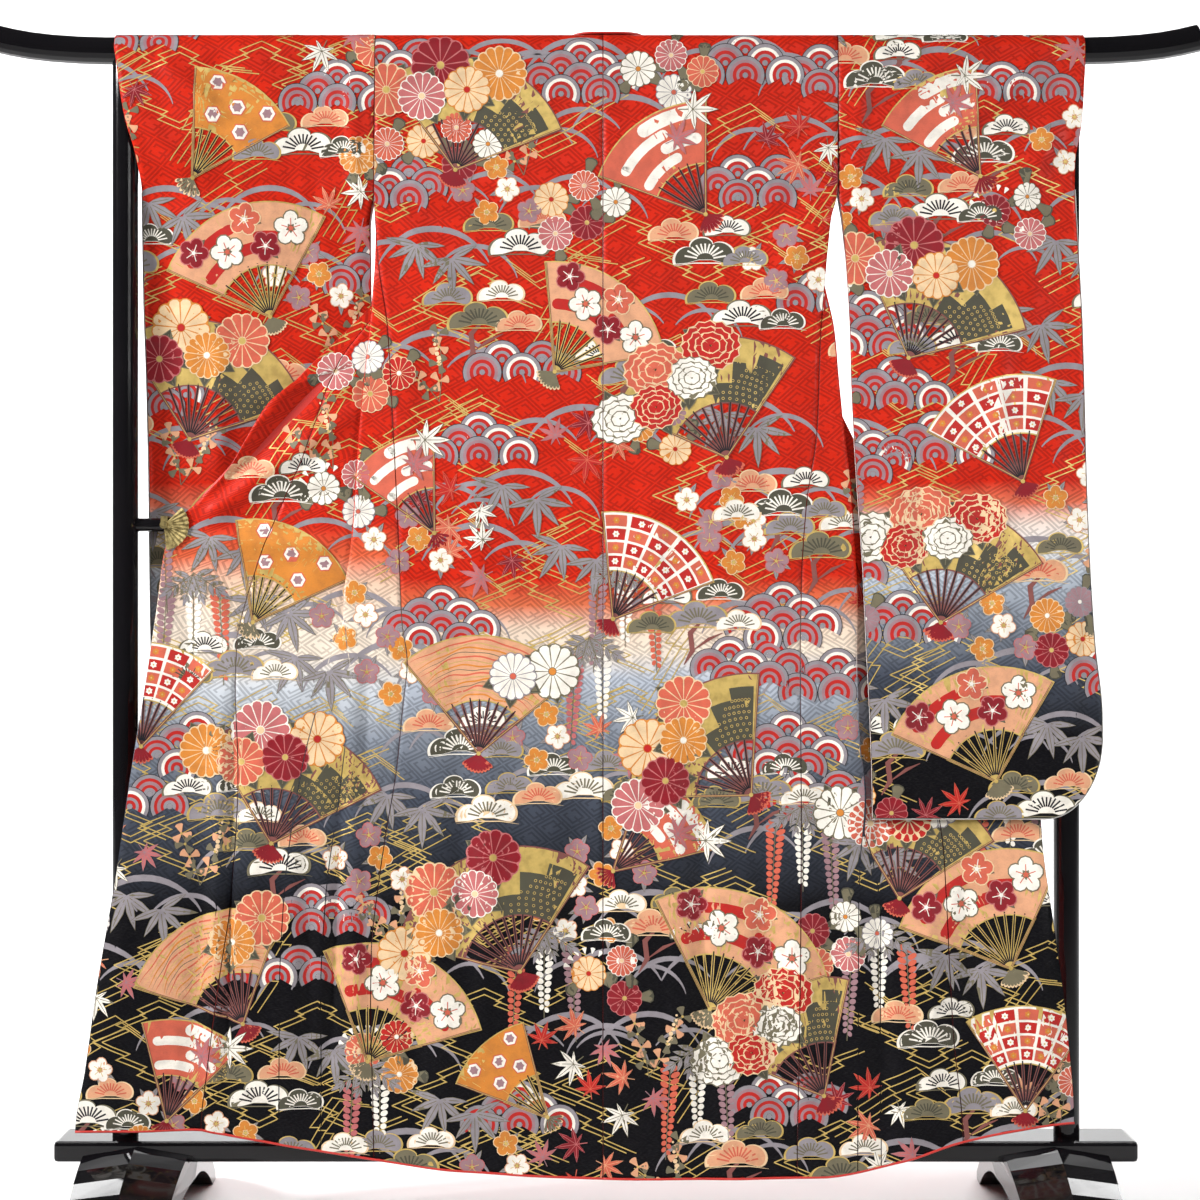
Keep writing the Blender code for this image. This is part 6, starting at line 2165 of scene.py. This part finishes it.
@dataclass
class Printing:
    """The whole printed design, laid on every panel's outer face."""

    sheets: dict[str, list[bpy.types.Object]] = field(default_factory=dict)

    def build(self, back: Back, fronts: dict[str, Front], sleeves: dict[str, Sleeve]) -> None:
        """Draws the layouts and prints every face.

        Args:
            back: The back halves.
            fronts: The fronts, by side.
            sleeves: The sleeves, by side.
        """
        finishes = (DyedSilk().make(), GoldFoil().make())
        body = Pattern(11, BODY_FANS, -780, 720, 90, 1760, PLAIN_AREAS).draw()
        sleeve = Pattern(23, SLEEVE_FANS, -740, 760, 600, 1760).draw()
        for face in self._body_faces(back, fronts):
            self._print(face, body, finishes)
        for side, piece in sleeves.items():
            sheet = f"sleeve_{side}_cloth"
            self._print(PrintedFace(f"print_sleeve_{side}", sheet, piece.grids["back"][9:], True, True), sleeve, finishes)
            self._print(PrintedFace(f"print_sleeve_{side}_far", sheet, piece.grids["front"], False, True), sleeve, finishes)

    def _body_faces(self, back: Back, fronts: dict[str, Front]) -> list[PrintedFace]:
        """The printed faces of the back halves, the fronts and the overlap panels."""
        faces = []
        for side in ("left", "right"):
            faces.append(PrintedFace(f"print_back_{side}", f"back_{side}_cloth", back.grids[side][8:], crest=True))
            front, sheet = fronts[side], f"front_{side}_cloth"
            fold, turn = front.strip_columns - 1, front.strip_columns + front.middle_columns - 2
            grid = front.grids["front"][8:]
            opened = (grid[:, turn, 0] - grid[:, fold, 0]) * way_of(side) > 2 * MM
            faces += [
                PrintedFace(f"print_strip_{side}", sheet, grid[grid[:, 0, 2] < 1.6][:, : fold + 1]),
                PrintedFace(f"print_low_{side}", sheet, grid[opened][:, fold: turn + 1]),
                PrintedFace(f"print_rear_{side}", sheet, grid[grid[:, 0, 2] < 1.42][:, turn:]),
                PrintedFace(f"print_far_{side}", sheet, grid[grid[:, 0, 2] > 1.22][:, fold: turn + 1], False, True),
                PrintedFace(f"print_okumi_{side}", f"okumi_{side}_cloth", front.grids["okumi"]),
            ]
        return faces

    def _print(self, face: PrintedFace, pattern: tuple[np.ndarray, np.ndarray], finishes: tuple) -> None:
        """Prints one face and keeps the piece under its sheet's name."""
        self.sheets.setdefault(face.sheet, []).append(face.print(*pattern, finishes))


def declare_sheets(back: Back, fronts: dict[str, Front], sleeves: dict[str, Sleeve],
                   rolls: dict[str, HemRoll], prints: dict[str, list[bpy.types.Object]]) -> None:
    """Lists each sheet of cloth with the flat size it was cut to and gathers the pieces that go with it, but does
    nothing further with them.

    Args:
        back: The back halves.
        fronts: The fronts, by side.
        sleeves: The sleeves, by side.
        rolls: The hem's rolls, by side.
        prints: The printed pieces on each sheet, by the sheet's name.
    """
    for side in ("left", "right"):
        sheets = (
            (back.pieces[side], (0.33, 1.66), None, ["top_rail"]),
            (fronts[side].pieces["front"], (0.27, 1.68), None, ["top_rail"]),
            (fronts[side].pieces["okumi"], (0.15, 1.38), 0.16, ["front_" + side]),
            (sleeves[side].piece, (0.36, 2.30), None, ["top_rail"]),
        )
        for piece, flat, area, rest in sheets:
            extra = list(prints.get(piece.name, []))
            if piece is back.pieces[side]:
                extra.append(rolls[side].piece)


def main() -> None:
    """Builds everything in order and reports each piece."""
    logging.basicConfig(level=logging.INFO, format="%(name)s: %(message)s")
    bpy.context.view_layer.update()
    Studio().build()
    wardrobe = Wardrobe()
    Stand(wardrobe).build()
    back = Back(wardrobe)
    back.build()
    fronts = {side: Front(wardrobe, side) for side in ("left", "right")}
    sleeves = {side: Sleeve(wardrobe, side) for side in ("left", "right")}
    rolls = {side: HemRoll(wardrobe, side) for side in ("left", "right")}
    for side in ("left", "right"):
        fronts[side].build()
        sleeves[side].build()
        rolls[side].build(back.grids[side], fronts[side].grids["front"], fronts[side].grids["okumi"])
    collar = Collar(wardrobe)
    collar.build(fronts)
    printing = Printing()
    printing.build(back, fronts, sleeves)
    declare_sheets(back, fronts, sleeves, rolls, printing.sheets)
    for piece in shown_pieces():
        log.info("%s: %d faces", piece.name, len(piece.data.polygons) if piece.type == "MESH" else 0)
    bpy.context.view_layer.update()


if __name__ == "__main__":
    main()
